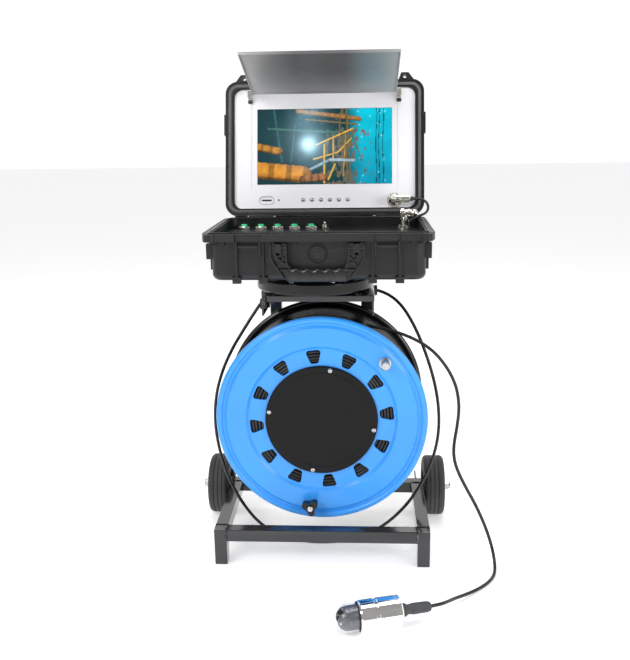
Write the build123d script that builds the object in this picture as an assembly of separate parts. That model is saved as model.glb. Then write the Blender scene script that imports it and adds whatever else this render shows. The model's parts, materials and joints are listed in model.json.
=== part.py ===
from build123d import *
import math
import os

# Pipe inspection camera: a monitor in a carry case, turning on top of a cable-reel cart,
# with a dome camera head on the end of its push cable. Millimetres, +X right, +Y back, +Z up.
# The origin is on the floor, under the middle of everything but the free cables.

# ---- cart frame
TUBE = 19.0                      # square tube, outside
TUBE_WALL = 2.0
FRAME_WIDTH = 330.0
FRAME_FRONT = -60.0              # front face of the two front legs
RAIL_TOP = 58.0                  # top of the rails, and height of the legs
CROSSBAR_Y = 133.0               # middle of the rear crossbar, and the wheel axle
PLATE = 3.0                      # sheet steel of brackets and gussets
POSTS_X = (-80.0, 70.0)          # middles of the two posts behind the reel

# ---- wheels
WHEEL_R = 50.5
WHEEL_WIDTH = 35.0
WHEEL_X = 184.0                  # middle of each tyre
RIM_R = 29.0
AXLE_R = 5.0
AXLE_END = 214.0
RUNNING_GAP = 0.06               # radial clearance of a shaft in its bore
PART_GAP = 0.3                   # gap between curved faces that move past each other

# ---- reel
REEL_Z = 221.0
FLANGE_R = 162.0
FLANGE_FRONT = -14.0             # front face of the front flange's inner plate
FLANGE_THICK = 3.0
REAR_FLANGE_FRONT = 114.0
DRUM_R = 84.0
DRUM_WALL = 3.0
PACK_R = 151.0                   # wound cable, outside
HUB_COVER_R = 86.0
WINDOWS = 12
WINDOW_TURN = 6.0                # degrees, first window from +X
WINDOW_IN, WINDOW_OUT = 89.5, 110.5
PEG_RADIUS, PEG_ANGLE = 133.0, 43.5
KNOB_RADIUS, KNOB_ANGLE = 137.0, -97.5
SPINDLE_R = 10.0
BEARING_R = 20.0

# ---- top bracket and turntable
BRACKET_X = (-90.0, 80.0)
BRACKET_Y = (-28.0, 143.0)
BRACKET_TOP = 417.0
BRACKET_LIP = 9.0               # front lip, down from the top
CHEEK = 39.0                     # side cheeks, down from the top
TURN_X, TURN_Y = -10.0, 37.0      # swivel axis
DISC_R = 88.0
DISC_BOTTOM, DISC_TOP = 420.3, 438.0

# ---- carry case
CASE_W, CASE_D = 327.0, 222.0    # over the rim
CASE_Y = 39.0                    # middle of the rim, front to back
CASE_BOTTOM, CASE_RIM = 445.0, 512.5
RIM_HEIGHT = 10.4
RIM_STEP = 11.5                  # rim stands out from the walls by this
CASE_WALL = 4.0
CORNER_R = 20.0
BASE_PANEL_TOP = 497.0
LATCH_X = 97.0
LATCH_WIDTH = 36.0
LUG_X = 132.0
HANDLE_X, HANDLE_Y, HANDLE_Z = 54.4, -71.0, 493.0
VALVE_Z = 484.3
BUTTON_X, BUTTON_PITCH, BUTTON_Y = -128.5, 27.2, 124.0
TOGGLE_X = 2.0
TEE_X, TEE_Y = 129.5, 116.0

# ---- lid, drawn flat in its own plane: x across, y up from the hinge, z out of the open side
LEAN = 14.0                      # degrees back from upright when open
HINGE_Y, HINGE_Z = 155.0, 513.5
LID_FOOT = 2.0                   # lower edge of the lid above the hinge
LID_DEPTH = 38.0
PANEL_W, PANEL_H = 298.5, 198.0
PANEL_FACE = -5.0
SCREEN_W, SCREEN_H, SCREEN_UP = 222.7, 125.3, 116.6
RECESS_W, RECESS_LOW, RECESS_TOP = 242.0, 44.5, 206.0
KEY_X, KEY_PITCH, KEY_UP = -35.0, 14.7, 28.0
KEYS = 6
SHADE_W, SHADE_L, SHADE_T = 236.0, 164.0, 1.2
SHADE_UP, SHADE_OUT = 203.5, 3.0
SHADE_RISE = 18.0                # degrees above level

# ---- camera head, drawn along its own axis from the dome's tip to the back
HEAD_R = 21.5
HEAD_TIP = (24.4, -236.5, HEAD_R)
HEAD_AXIS = (0.9615, 0.2748, 0.0)
DOME_R = 19.0
DOME_BASE = 38.0
HEAD_LENGTH = 91.6
BOOT_LENGTH = 44.0
EYE_AT = 19.5                    # middle of the camera eye, from the tip

CABLE = 5.0                      # push cable and lead, outside

# ---- routes of the two free cables and of the short jumper, by hand
LEAD_ROUTE = [
    (86.5, 112, 398.0), (103, 109, 394), (127, 96, 376), (148, 77, 342), (164, 62, 303), (177, 54, 261),
    (184.5, 50, 217), (184.5, 48, 172), (174, 44, 128), (155, 37, 89), (128, 29, 53), (92, 20, 24),
    (50, 13, 7), (8, 10, 2.8), (-34, 11, 3.6), (-76, 15, 12), (-110, 22, 33), (-136, 30, 65),
    (-156, 37, 101), (-169, 43, 142), (-176, 47, 186), (-174.5, 50, 231), (-164, 52, 273), (-146, 55, 313),
    (-124, 59, 348), (-109, 64, 371), (-99, 69, 385),
]
CAMERA_ROUTE = [
    (69.0, 28, 359.5), (101, 25, 354), (135, 21, 343.5), (166, 15, 327), (189, 9, 302), (205, 4, 272),
    (210.5, 0, 238), (207, -4, 206), (201.5, -9, 175), (204, -15, 150), (217, -25, 123), (235, -36, 93),
    (250, -46, 60), (260, -51, 29), (263, -63, 8), (259, -84, 3.2), (247, -105, 2.7), (229, -125, 3.4),
    (209, -144, 6.2), (191, -162.5, 11), (178, -181, 16.5), (167, -193.0, 20.2), (155.1, -199.3, 21.5),
]
JUMPER = 4.2
JUMPER_ROUTE = [
    (141.6, 149.65, 541.6), (155, 149, 541.6), (166, 146, 537), (169.5, 140.5, 527), (164, 133.5, 518.8),
    (151.5, 124, 516.0), (141.5, 118, 511.5), (136.5, 116.0, 508.0),
]

LID = Plane(
    origin=(0, HINGE_Y, HINGE_Z), x_dir=(1, 0, 0),
    z_dir=(0, -math.cos(math.radians(LEAN)), math.sin(math.radians(LEAN))),
)
HEAD = Plane(origin=HEAD_TIP, x_dir=(0, 0, 1), z_dir=HEAD_AXIS)
REEL_FRONT = Plane(origin=(0, 0, REEL_Z), x_dir=(1, 0, 0), z_dir=(0, -1, 0))


def block(x0, x1, y0, y1, z0, z1):
    """A box between two corners."""
    return Pos((x0 + x1) / 2, (y0 + y1) / 2, (z0 + z1) / 2) * Box(x1 - x0, y1 - y0, z1 - z0)


def rod_x(x0, x1, y, z, r):
    return Pos((x0 + x1) / 2, y, z) * Rot(0, 90, 0) * Cylinder(r, x1 - x0)


def rod_y(x, y0, y1, z, r):
    return Pos(x, (y0 + y1) / 2, z) * Rot(90, 0, 0) * Cylinder(r, y1 - y0)


def rod_z(x, y, z0, z1, r):
    return Pos(x, y, (z0 + z1) / 2) * Cylinder(r, z1 - z0)


def square_tube(x0, x1, y0, y1, z0, z1, along):
    """A hollow square tube, open along one axis."""
    walls = {a: (0 if a == along else TUBE_WALL) for a in "xyz"}
    inside = block(x0 + walls["x"], x1 - walls["x"], y0 + walls["y"], y1 - walls["y"],
                   z0 + walls["z"], z1 - walls["z"])
    return block(x0, x1, y0, y1, z0, z1) - inside


def slab(width, low, high, out0, out1, radius):
    """A rounded plate in the lid's own plane, from low to high above the hinge."""
    outline = Pos(0, (low + high) / 2) * RectangleRounded(width, high - low, radius)
    return Pos(0, 0, out0) * extrude(outline, out1 - out0)


def around(radius, degrees):
    """A point of the reel's face."""
    a = math.radians(degrees)
    return radius * math.cos(a), radius * math.sin(a)


# ---------------------------------------------------------------- cart

def base_frame():
    """Welded square tubes: a front bar on two legs, two side rails and a rear crossbar."""
    side = FRAME_WIDTH / 2
    low = RAIL_TOP - TUBE
    back = CROSSBAR_Y - TUBE / 2
    pieces = [square_tube(-side + TUBE, side - TUBE, FRAME_FRONT, FRAME_FRONT + TUBE, low, RAIL_TOP, "x")]
    crossbar = square_tube(-side, side, back, back + TUBE, low, RAIL_TOP, "x")
    for s in (-1, 1):
        x0, x1 = sorted((s * side, s * (side - TUBE)))
        leg = block(x0, x1, FRAME_FRONT, FRAME_FRONT + TUBE, 0, RAIL_TOP)
        leg -= block(x0 + TUBE_WALL, x1 - TUBE_WALL, FRAME_FRONT + TUBE_WALL, FRAME_FRONT + TUBE - TUBE_WALL,
                     TUBE_WALL, RAIL_TOP - TUBE_WALL)
        pieces.append(leg)
        pieces.append(square_tube(x0, x1, FRAME_FRONT + TUBE, back, low, RAIL_TOP, "y"))
        outline = make_face(Polyline((0, 0), (34, 0), (0, 26), close=True))
        x = s * (side - TUBE / 2)
        gusset = Pos(x + PLATE / 2, back + TUBE, RAIL_TOP) * Rot(0, -90, 0) * Rot(0, 0, 90) * extrude(
            outline, PLATE)
        pieces.append(gusset)
    return pieces + [crossbar]


def rear_posts():
    """Two square posts behind the reel, with the plate that holds the reel's spindle."""
    y0 = CROSSBAR_Y - TUBE / 2
    posts = [square_tube(x - TUBE / 2, x + TUBE / 2, y0, y0 + TUBE, RAIL_TOP, BRACKET_TOP - PLATE, "z")
             for x in POSTS_X]
    left, right = POSTS_X[0] + TUBE / 2, POSTS_X[1] - TUBE / 2
    plate = block(left, right, y0 + 4, y0 + 12, REEL_Z - 32, REEL_Z + 32)
    plate -= rod_y(0, y0, y0 + TUBE, REEL_Z, SPINDLE_R)
    brace = square_tube(left, right, y0, y0 + TUBE, 340, 340 + TUBE, "x")
    return posts + [plate, brace]


def top_bracket():
    """Folded plate over the posts: a flat top, a front lip and two side cheeks."""
    x0, x1 = BRACKET_X
    y0, y1 = BRACKET_Y
    front_left = x0 + 13
    top = block(x0, x1, y0 + 40, y1, BRACKET_TOP - PLATE, BRACKET_TOP)
    top += block(front_left, x1, y0, y0 + 41, BRACKET_TOP - PLATE, BRACKET_TOP)
    top += block(front_left, x1, y0, y0 + PLATE, BRACKET_TOP - BRACKET_LIP, BRACKET_TOP)
    for x in (x0, x1 - PLATE):
        top += block(x, x + PLATE, y0 + 40, CROSSBAR_Y - TUBE / 2, BRACKET_TOP - CHEEK, BRACKET_TOP)
    for x in POSTS_X:
        top -= rod_z(x, CROSSBAR_Y, BRACKET_TOP - PLATE, BRACKET_TOP, 3.2)
    for x, y, z in (LEAD_ROUTE[0], LEAD_ROUTE[-1]):
        hole = x0 if x < 0 else x1 - PLATE
        top -= rod_x(hole, hole + PLATE, y, z, 6.0)
    return top


def cable_glands():
    """A gland in each cheek, where the lead goes in: a threaded neck and a hexagon nut."""
    made = []
    for (x, y, z), s in ((LEAD_ROUTE[0], 1), (LEAD_ROUTE[-1], -1)):
        face = BRACKET_X[1] if s > 0 else BRACKET_X[0]
        inner = face - s * (PLATE + 3)
        nut = Pos(face, y, z) * Rot(0, 90 * s, 0) * extrude(RegularPolygon(8.5, 6), abs(x - face))
        neck = rod_x(*sorted((inner, face)), y, z, 6.0)
        made.append(nut + neck)
    return made


def spindle():
    y1 = CROSSBAR_Y - TUBE / 2 + 22
    shaft = rod_y(0, FLANGE_FRONT + 14, y1, REEL_Z, SPINDLE_R)
    return shaft


def wheel_axle():
    """Rod through the crossbar, with a domed cap nut on each end."""
    rod = rod_x(-AXLE_END + 8, AXLE_END - 8, CROSSBAR_Y, WHEEL_R, AXLE_R)
    for s in (-1, 1):
        x0, x1 = sorted((s * (WHEEL_X + WHEEL_WIDTH / 2 + 1.5), s * (AXLE_END - 3)))
        nut = Pos(x0, CROSSBAR_Y, WHEEL_R) * Rot(0, 90, 0) * extrude(RegularPolygon(9, 6), x1 - x0)
        cap = rod_x(*sorted((s * (AXLE_END - 3), s * AXLE_END)), CROSSBAR_Y, WHEEL_R, 6.5)
        rod += nut + cap
    return rod


def swivel_bearing():
    """Thin ring the turntable turns on."""
    ring = rod_z(TURN_X, TURN_Y, BRACKET_TOP, DISC_BOTTOM - PART_GAP, 58)
    return ring - rod_z(TURN_X, TURN_Y, BRACKET_TOP, DISC_BOTTOM, 42)


# ---------------------------------------------------------------- wheels

def tyre(side):
    x0 = side * WHEEL_X - WHEEL_WIDTH / 2
    wheel = rod_x(x0, x0 + WHEEL_WIDTH, CROSSBAR_Y, WHEEL_R, WHEEL_R)
    wheel = fillet(wheel.edges().filter_by(GeomType.CIRCLE), 7)
    wheel -= rod_x(x0, x0 + WHEEL_WIDTH, CROSSBAR_Y, WHEEL_R, RIM_R)
    for shift in (-7, 0, 7):
        groove = rod_x(0, 1.6, CROSSBAR_Y, WHEEL_R, WHEEL_R + 1) - rod_x(0, 1.6, CROSSBAR_Y, WHEEL_R,
                                                                        WHEEL_R - 1.5)
        wheel -= Pos(side * WHEEL_X + shift - 0.8, 0, 0) * groove
    return wheel


def wheel_hub(side):
    x0 = side * WHEEL_X - WHEEL_WIDTH / 2
    hub = rod_x(x0 + 1, x0 + WHEEL_WIDTH - 1, CROSSBAR_Y, WHEEL_R, RIM_R)
    for x in (x0 + 1, x0 + WHEEL_WIDTH - 9):
        dish = rod_x(x, x + 8, CROSSBAR_Y, WHEEL_R, RIM_R - 4) - rod_x(x, x + 8, CROSSBAR_Y, WHEEL_R, 11)
        hub -= dish
    return hub - rod_x(x0, x0 + WHEEL_WIDTH, CROSSBAR_Y, WHEEL_R, AXLE_R + RUNNING_GAP)


# ---------------------------------------------------------------- reel

def flange(bore, windows):
    """A pressed disc with a raised ring and a rolled edge, about its own axis; +Z is its front."""
    t = FLANGE_THICK
    front = [(bore, 0), (112.5, 0), (116.5, 4), (145, 4), (149, 1), (154, 1)]
    outline = front + [(r, h - t) for r, h in reversed(front)]
    section = Plane.XZ * make_face(Polyline(*outline, close=True))
    disc = revolve(section, Axis.Z)
    disc += Pos(0, 0, -0.5) * Torus(FLANGE_R - 5, 5)
    if windows:
        outer, inner = 12.5, 6.0
        shape = make_face(Polyline((WINDOW_IN, -inner), (WINDOW_OUT, -outer), (WINDOW_OUT, outer),
                                   (WINDOW_IN, inner), close=True))
        shape = fillet(shape.vertices(), 4.2)
        hole = Pos(0, 0, -t - 1) * extrude(shape, t + 2)
        for i in range(WINDOWS):
            disc -= Rot(0, 0, WINDOW_TURN + 360 / WINDOWS * i) * hole
    return disc


def front_flange():
    disc = Pos(0, FLANGE_FRONT, 0) * REEL_FRONT.location * flange(14, True)
    return disc


def rear_flange():
    """The same pressing, black, turned round, without windows."""
    back = Plane(origin=(0, REAR_FLANGE_FRONT + FLANGE_THICK, REEL_Z), x_dir=(1, 0, 0), z_dir=(0, 1, 0))
    return back.location * flange(BEARING_R + 4, False)


def reel_drum():
    """Drum between the flanges, with a web near each end that holds a bearing."""
    y0, y1 = FLANGE_FRONT + FLANGE_THICK, REAR_FLANGE_FRONT
    drum = rod_y(0, y0, y1, REEL_Z, DRUM_R) - rod_y(0, y0, y1, REEL_Z, DRUM_R - DRUM_WALL)
    for y in (y0 + 6, y1 - 18):
        web = rod_y(0, y, y + 12, REEL_Z, DRUM_R - DRUM_WALL) - rod_y(0, y, y + 12, REEL_Z, BEARING_R)
        drum += web
    return drum


def reel_bearings():
    y0, y1 = FLANGE_FRONT + FLANGE_THICK, REAR_FLANGE_FRONT
    return [rod_y(0, y, y + 12, REEL_Z, BEARING_R) - rod_y(0, y, y + 12, REEL_Z, SPINDLE_R + RUNNING_GAP)
            for y in (y0 + 6, y1 - 18)]


def slip_ring():
    """Passes the signal from the turning reel to the fixed spindle."""
    return rod_y(0, 30, 62, REEL_Z, 24) - rod_y(0, 30, 62, REEL_Z, SPINDLE_R + RUNNING_GAP)


def wound_cable():
    y0, y1 = FLANGE_FRONT + FLANGE_THICK, REAR_FLANGE_FRONT
    pack = rod_y(0, y0, y1, REEL_Z, PACK_R) - rod_y(0, y0, y1, REEL_Z, DRUM_R)
    return pack


def hub_cover():
    disc = rod_y(0, FLANGE_FRONT - 5, FLANGE_FRONT, REEL_Z, HUB_COVER_R)
    disc = chamfer(disc.edges().sort_by(Axis.Y)[0], 1.5)
    return disc


def hub_screws():
    made = []
    for i in range(4):
        x, z = around(HUB_COVER_R - 5, 80 + 90 * i)
        made.append(rod_y(x, FLANGE_FRONT - 7, FLANGE_FRONT - 5, REEL_Z + z, 3.6))
    return made


def flange_peg():
    """Metal peg that the hand turns the reel by."""
    x, z = around(PEG_RADIUS, PEG_ANGLE)
    front = FLANGE_FRONT - 4
    peg = rod_y(x, front - 20, front, REEL_Z + z, 6.5)
    peg = chamfer(peg.edges().sort_by(Axis.Y)[0], 1.2)
    return peg + rod_y(x, front - 2.5, front, REEL_Z + z, 9)


def knob_stem():
    x, z = around(KNOB_RADIUS, KNOB_ANGLE)
    front = FLANGE_FRONT - 4
    return rod_y(x, front - 8, front, REEL_Z + z, 6.5) + rod_y(x, front - 25, front - 8, REEL_Z + z, 3.0)


def lock_knob():
    """Three-lobed knob on the stem."""
    x, z = around(KNOB_RADIUS, KNOB_ANGLE)
    face = FLANGE_FRONT - 4 - 8 - PART_GAP
    knob = rod_y(x, face - 14, face, REEL_Z + z, 8.5)
    for i in range(3):
        dx, dz = around(8.5, 50 + 120 * i)
        knob += rod_y(x + dx, face - 13, face - 1, REEL_Z + z + dz, 5.2)
    return knob - rod_y(x, face - 14, face, REEL_Z + z, 3.0 + RUNNING_GAP)


# ---------------------------------------------------------------- carry case

def turntable_disc():
    disc = rod_z(TURN_X, TURN_Y, DISC_BOTTOM, DISC_TOP, DISC_R)
    disc = fillet(disc.edges().filter_by(GeomType.CIRCLE), 2.5)
    disc -= rod_z(TURN_X, TURN_Y, DISC_BOTTOM - 1, DISC_BOTTOM + 9, DISC_R - 5) - rod_z(
        TURN_X, TURN_Y, DISC_BOTTOM - 1, DISC_BOTTOM + 9, 62)
    return disc + rod_z(TURN_X, TURN_Y, DISC_TOP, CASE_BOTTOM, 60)


def case_base():
    """Lower half of the case: a tray with a stepped rim, ribs, feet, hinge knuckles and handle lugs."""
    width, depth = CASE_W - 2 * RIM_STEP, CASE_D - 2 * RIM_STEP
    at = Pos(0, CASE_Y, 0)
    body = at * Pos(0, 0, CASE_BOTTOM) * extrude(RectangleRounded(width, depth, CORNER_R - 4),
                                                 CASE_RIM - CASE_BOTTOM)
    body = fillet(body.faces().sort_by(Axis.Z)[0].edges(), 9)
    body += at * Pos(0, 0, CASE_RIM - RIM_HEIGHT) * extrude(RectangleRounded(CASE_W, CASE_D, CORNER_R),
                                                           RIM_HEIGHT)
    body += base_ribs()
    inside = at * Pos(0, 0, CASE_BOTTOM + CASE_WALL) * extrude(
        RectangleRounded(width - 2 * CASE_WALL, depth - 2 * CASE_WALL, CORNER_R - 8),
        BASE_PANEL_TOP - PLATE - CASE_BOTTOM - CASE_WALL)
    mouth = at * Pos(0, 0, BASE_PANEL_TOP - PLATE) * extrude(
        RectangleRounded(width - 2, depth - 2, CORNER_R - 5), CASE_RIM - BASE_PANEL_TOP + PLATE)
    front, back = CASE_Y - CASE_D / 2, CASE_Y + CASE_D / 2
    body -= inside + mouth
    for s in (-1, 1):
        body -= block(s * LATCH_X - 18.5, s * LATCH_X + 18.5, front, front + 4.5, 480, CASE_RIM)
        body += knuckle(s, 84, 104) + block(*sorted((s * 84, s * 104)), back - 1, HINGE_Y, HINGE_Z - 4.5,
                                             HINGE_Z)
        lug = rod_z(s * 151, front + 5, CASE_RIM - RIM_HEIGHT, CASE_RIM, 9)
        body += lug
        body -= rod_z(s * 151, front + 2.5, CASE_RIM - RIM_HEIGHT, CASE_RIM, 3.0)
        body -= rod_x(*sorted((s * 80, s * 110)), HINGE_Y, HINGE_Z, 1.95)
        body += block(s * HANDLE_X - 3, s * HANDLE_X + 3, HANDLE_Y - 5, front + 12, HANDLE_Z - 6, HANDLE_Z + 6)
        body -= rod_x(s * HANDLE_X - 4, s * HANDLE_X + 4, HANDLE_Y, HANDLE_Z, 2.5 + RUNNING_GAP)
    body -= rod_y(0, front + RIM_STEP - 2, front + RIM_STEP + 8, VALVE_Z, 6)
    return body


def base_ribs():
    """Ribs and feet down the front, back and sides of the tray, and strap lugs."""
    ribs = None
    front, back = CASE_Y - CASE_D / 2, CASE_Y + CASE_D / 2
    for x in (-115, -77, 77, 115):
        for y0, y1 in ((front + 7, front + 15), (back - 15, back - 7)):
            rib = block(x - 2, x + 2, y0, y1, CASE_BOTTOM + 3, CASE_RIM - RIM_HEIGHT)
            foot = block(x - 6, x + 6, y0, y1, CASE_BOTTOM - 3, CASE_BOTTOM + 6)
            ribs = rib + foot if ribs is None else ribs + rib + foot
    side = CASE_W / 2 - RIM_STEP
    for s in (-1, 1):
        for y in (-30, 5, 70, 105):
            ribs += block(*sorted((s * (side - 1), s * (side + 5))), y - 2, y + 2, CASE_BOTTOM + 12,
                          CASE_RIM - RIM_HEIGHT)
        ribs += block(*sorted((s * (side - 1), s * (side + 8))), -48, -34, 474.6, 496.3)
    return ribs


def knuckle(side, near, far):
    """A hinge barrel about the lid's pin."""
    return rod_x(*sorted((side * near, side * far)), HINGE_Y, HINGE_Z, 4.5)


def hinge_pins():
    return [rod_x(*sorted((s * 80, s * 126)), HINGE_Y, HINGE_Z, 1.95) for s in (-1, 1)]


def base_panel():
    """Control panel set in the tray."""
    width, depth = CASE_W - 2 * RIM_STEP - 3, CASE_D - 2 * RIM_STEP - 3
    plate = Pos(0, CASE_Y, BASE_PANEL_TOP - PLATE) * extrude(RectangleRounded(width, depth, CORNER_R - 6),
                                                             PLATE)
    for i in range(5):
        plate -= rod_z(BUTTON_X + BUTTON_PITCH * i, BUTTON_Y, BASE_PANEL_TOP - 4, BASE_PANEL_TOP + 1, 7)
    plate -= rod_z(TOGGLE_X, BUTTON_Y, BASE_PANEL_TOP - 4, BASE_PANEL_TOP + 1, 5)
    return plate


def button_collars():
    """Threaded collars of the five push buttons."""
    made = []
    for i in range(5):
        x = BUTTON_X + BUTTON_PITCH * i
        collar = rod_z(x, BUTTON_Y, BASE_PANEL_TOP, BASE_PANEL_TOP + 4.5, 8.6)
        collar += rod_z(x, BUTTON_Y, BASE_PANEL_TOP - 16, BASE_PANEL_TOP, 7)
        made.append(collar - rod_z(x, BUTTON_Y, BASE_PANEL_TOP - 12, BASE_PANEL_TOP + 5, 5.6))
    return made


def push_button(i):
    x = BUTTON_X + BUTTON_PITCH * i
    cap = rod_z(x, BUTTON_Y, BASE_PANEL_TOP - 8, BASE_PANEL_TOP + 8.5, 5.2)
    return chamfer(cap.edges().sort_by(Axis.Z)[-1], 0.8)


def toggle_base():
    """Hexagon nut, washer and body of the toggle switch."""
    body = rod_z(TOGGLE_X, BUTTON_Y, BASE_PANEL_TOP - 14, BASE_PANEL_TOP, 5)
    body += Pos(TOGGLE_X, BUTTON_Y, BASE_PANEL_TOP) * extrude(RegularPolygon(7, 6), 3)
    body += rod_z(TOGGLE_X, BUTTON_Y, BASE_PANEL_TOP + 3, BASE_PANEL_TOP + 7, 4.2)
    well = rod_z(TOGGLE_X, BUTTON_Y, BASE_PANEL_TOP - 2, BASE_PANEL_TOP + 8, 3.2)
    return body - well


def toggle_lever():
    """Bat lever, pivoting in the switch's neck."""
    lever = rod_z(TOGGLE_X, BUTTON_Y, BASE_PANEL_TOP, BASE_PANEL_TOP + 9, 1.3)
    lever += rod_x(TOGGLE_X - 2.5, TOGGLE_X + 2.5, BUTTON_Y, BASE_PANEL_TOP, 1.6)
    return lever + Pos(TOGGLE_X, BUTTON_Y, BASE_PANEL_TOP + 9.5) * Sphere(1.9)


def bnc_tee():
    """Coaxial tee on the base panel: flanged post, cross barrel and a side port for the jumper."""
    z = BASE_PANEL_TOP
    tee = rod_z(TEE_X, TEE_Y, z, z + 1.6, 12) + rod_z(TEE_X, TEE_Y, z, z + 5, 6.5)
    tee += rod_z(TEE_X, TEE_Y, z, z + 22, 4.6) + rod_z(TEE_X, TEE_Y, z + 8, z + 14, 7.0)
    tee += rod_x(TEE_X - 7, TEE_X + 11, TEE_Y, z + 25, 5.2)
    tee += Pos(TEE_X + 15, TEE_Y, z + 25) * Sphere(6.0)
    tee += rod_x(TEE_X, JUMPER_ROUTE[-1][0], TEE_Y, z + 11, 4.0)
    return tee


def purge_valve():
    """Pressure valve in the front wall: concentric rings round a small screw."""
    y = CASE_Y - CASE_D / 2 + RIM_STEP
    valve = rod_y(0, y - 3, y, VALVE_Z, 10.8) + rod_y(0, y, y + 6, VALVE_Z, 6)
    valve -= rod_y(0, y - 3, y - 1.5, VALVE_Z, 8.8) - rod_y(0, y - 3, y - 1.5, VALVE_Z, 6.4)
    return valve + rod_y(0, y - 4.5, y, VALVE_Z, 3)


def carry_handle():
    """Folding handle: two forked arms that sweep in to a ribbed grip, hanging down the front."""
    half = [(42, 6.5), (66, 6.5), (66, -9.5), (46, -42), (38, -47.5)]
    inner = [(31, -26), (42, -9.5)]
    outline = half + [(-x, h) for x, h in reversed(half)] + [(-x, h) for x, h in reversed(inner)] + inner
    shape = make_face(Polyline(*outline, close=True))
    body = Pos(0, HANDLE_Y + 6, HANDLE_Z) * Rot(90, 0, 0) * extrude(shape, 12)
    for i in range(5):
        x = -24 + 12 * i
        body += block(x - 2.5, x + 2.5, HANDLE_Y - 7.5, HANDLE_Y - 6, HANDLE_Z - 46.5, HANDLE_Z - 27)
    for s in (-1, 1):
        body -= block(s * HANDLE_X - 3.4, s * HANDLE_X + 3.4, HANDLE_Y - 7, HANDLE_Y + 7, HANDLE_Z - 8.8,
                      HANDLE_Z + 7)
        body += rod_x(s * HANDLE_X - 8, s * HANDLE_X + 8, HANDLE_Y, HANDLE_Z, 2.5)
    return body


def battery_pack():
    return block(-120, -20, -40, 40, CASE_BOTTOM + CASE_WALL, CASE_BOTTOM + CASE_WALL + 34)


def control_board():
    """Circuit board on four pillars, with its larger parts."""
    low = CASE_BOTTOM + CASE_WALL
    board = block(10, 120, -35, 55, low + 8, low + 10)
    for x in (16, 114):
        for y in (-29, 49):
            board += rod_z(x, y, low, low + 8, 3)
    for x, y, w, h in ((35, 10, 22, 3), (80, -10, 16, 4), (95, 30, 14, 9), (50, 35, 10, 6)):
        board += block(x - w / 2, x + w / 2, y - w / 2, y + w / 2, low + 10, low + 10 + h)
    return board


# ---------------------------------------------------------------- lid, all in the lid's plane

def lid_shell():
    """Upper half of the case, open: rim, back, ribs, padlock lugs and hinge barrels."""
    top = LID_FOOT + CASE_D
    shell = slab(CASE_W, LID_FOOT, top, -RIM_HEIGHT, 0, CORNER_R)
    width = CASE_W - 2 * RIM_STEP
    low, high = LID_FOOT + RIM_STEP, top - RIM_STEP
    body = slab(width, low, high, -LID_DEPTH, 0, CORNER_R - 4)
    body = fillet(body.faces().sort_by(Axis.Z)[0].edges(), 9)
    shell += body
    for x in (-115, -77, 0, 77, 115):
        shell += Pos(x, (low + high) / 2, -LID_DEPTH - 1) * Box(6, high - low - 30, 2)
    for x in (-115, -77, 77, 115):
        shell += block(x - 2, x + 2, high - 1, high + 6, -LID_DEPTH + 10, -RIM_HEIGHT)
        shell += block(x - 2, x + 2, low - 6, low + 1, -LID_DEPTH + 10, -RIM_HEIGHT)
    shell -= slab(PANEL_W, low, low + PANEL_H, -RIM_HEIGHT + 2, 0, CORNER_R - 6)
    shell -= slab(PANEL_W - 8, low + 4, high - 4, -LID_DEPTH + CASE_WALL, 0, CORNER_R - 10)
    for s in (-1, 1):
        lug = make_face(Polyline((s * (LUG_X - 11), top - 3), (s * (LUG_X - 6), top + 11),
                                 (s * (LUG_X + 6), top + 11), (s * (LUG_X + 18), top - 5), close=True))
        shell += Pos(0, 0, -RIM_HEIGHT) * extrude(lug, RIM_HEIGHT)
        shell -= Pos(s * LUG_X, top + 4.5, -RIM_HEIGHT / 2) * Cylinder(3.0, RIM_HEIGHT + 2)
        shell += block(*sorted((s * (CASE_W / 2 - 1), s * (CASE_W / 2 + 2.5))), 136, 170, -RIM_HEIGHT, -1)
        shell += Pos(s * 114.3, 0, 0) * Rot(0, 90, 0) * Cylinder(4.5, 20)
        shell += block(s * LATCH_X - 21, s * LATCH_X - 18.5, top - 1, top + 8, -22, -10)
        shell += block(s * LATCH_X + 18.5, s * LATCH_X + 21, top - 1, top + 8, -22, -10)
        shell -= Pos(s * 94, 0, 0) * Rot(0, 90, 0) * Cylinder(4.9, 20.7)
        shell -= Pos(s * 104, 0, 0) * Rot(0, 90, 0) * Cylinder(1.95 + RUNNING_GAP, 60)
        for x in (s * LATCH_X - 20, s * LATCH_X + 20):
            shell -= Pos(x, top + 4, -16) * Rot(0, 90, 0) * Cylinder(2.0 + RUNNING_GAP, 6)
    return LID * shell


def lid_panel():
    """White monitor panel with a shallow frame round the screen."""
    low = LID_FOOT + RIM_STEP
    panel = slab(PANEL_W, low, low + PANEL_H, PANEL_FACE - 3, PANEL_FACE, CORNER_R - 6)
    panel -= slab(RECESS_W, RECESS_LOW, RECESS_TOP, PANEL_FACE - 1.2, PANEL_FACE + 1, 3)
    panel -= slab(SCREEN_W, SCREEN_UP - SCREEN_H / 2, SCREEN_UP + SCREEN_H / 2, PANEL_FACE - 4, PANEL_FACE, 1)
    for i in range(KEYS):
        panel -= Pos(KEY_X + KEY_PITCH * i, KEY_UP, PANEL_FACE) * Cylinder(3.3, 8)
    slot = Pos(-95.5, KEY_UP, PANEL_FACE - 1.5) * extrude(SlotOverall(23, 11), 3)
    return LID * (panel - slot)


def display_module():
    """Flat display behind the panel, its glass filling the window."""
    low, high = SCREEN_UP - SCREEN_H / 2, SCREEN_UP + SCREEN_H / 2
    back = slab(SCREEN_W + 12, low - 9, high + 6, PANEL_FACE - 12, PANEL_FACE - 3, 2)
    glass = slab(SCREEN_W, low, high, PANEL_FACE - 3, PANEL_FACE - 1.8, 1)
    return LID * (back + glass)


def panel_key(i):
    cap = Pos(KEY_X + KEY_PITCH * i, KEY_UP, PANEL_FACE - 0.75) * Cylinder(2.9, 4.5)
    return LID * cap


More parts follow.
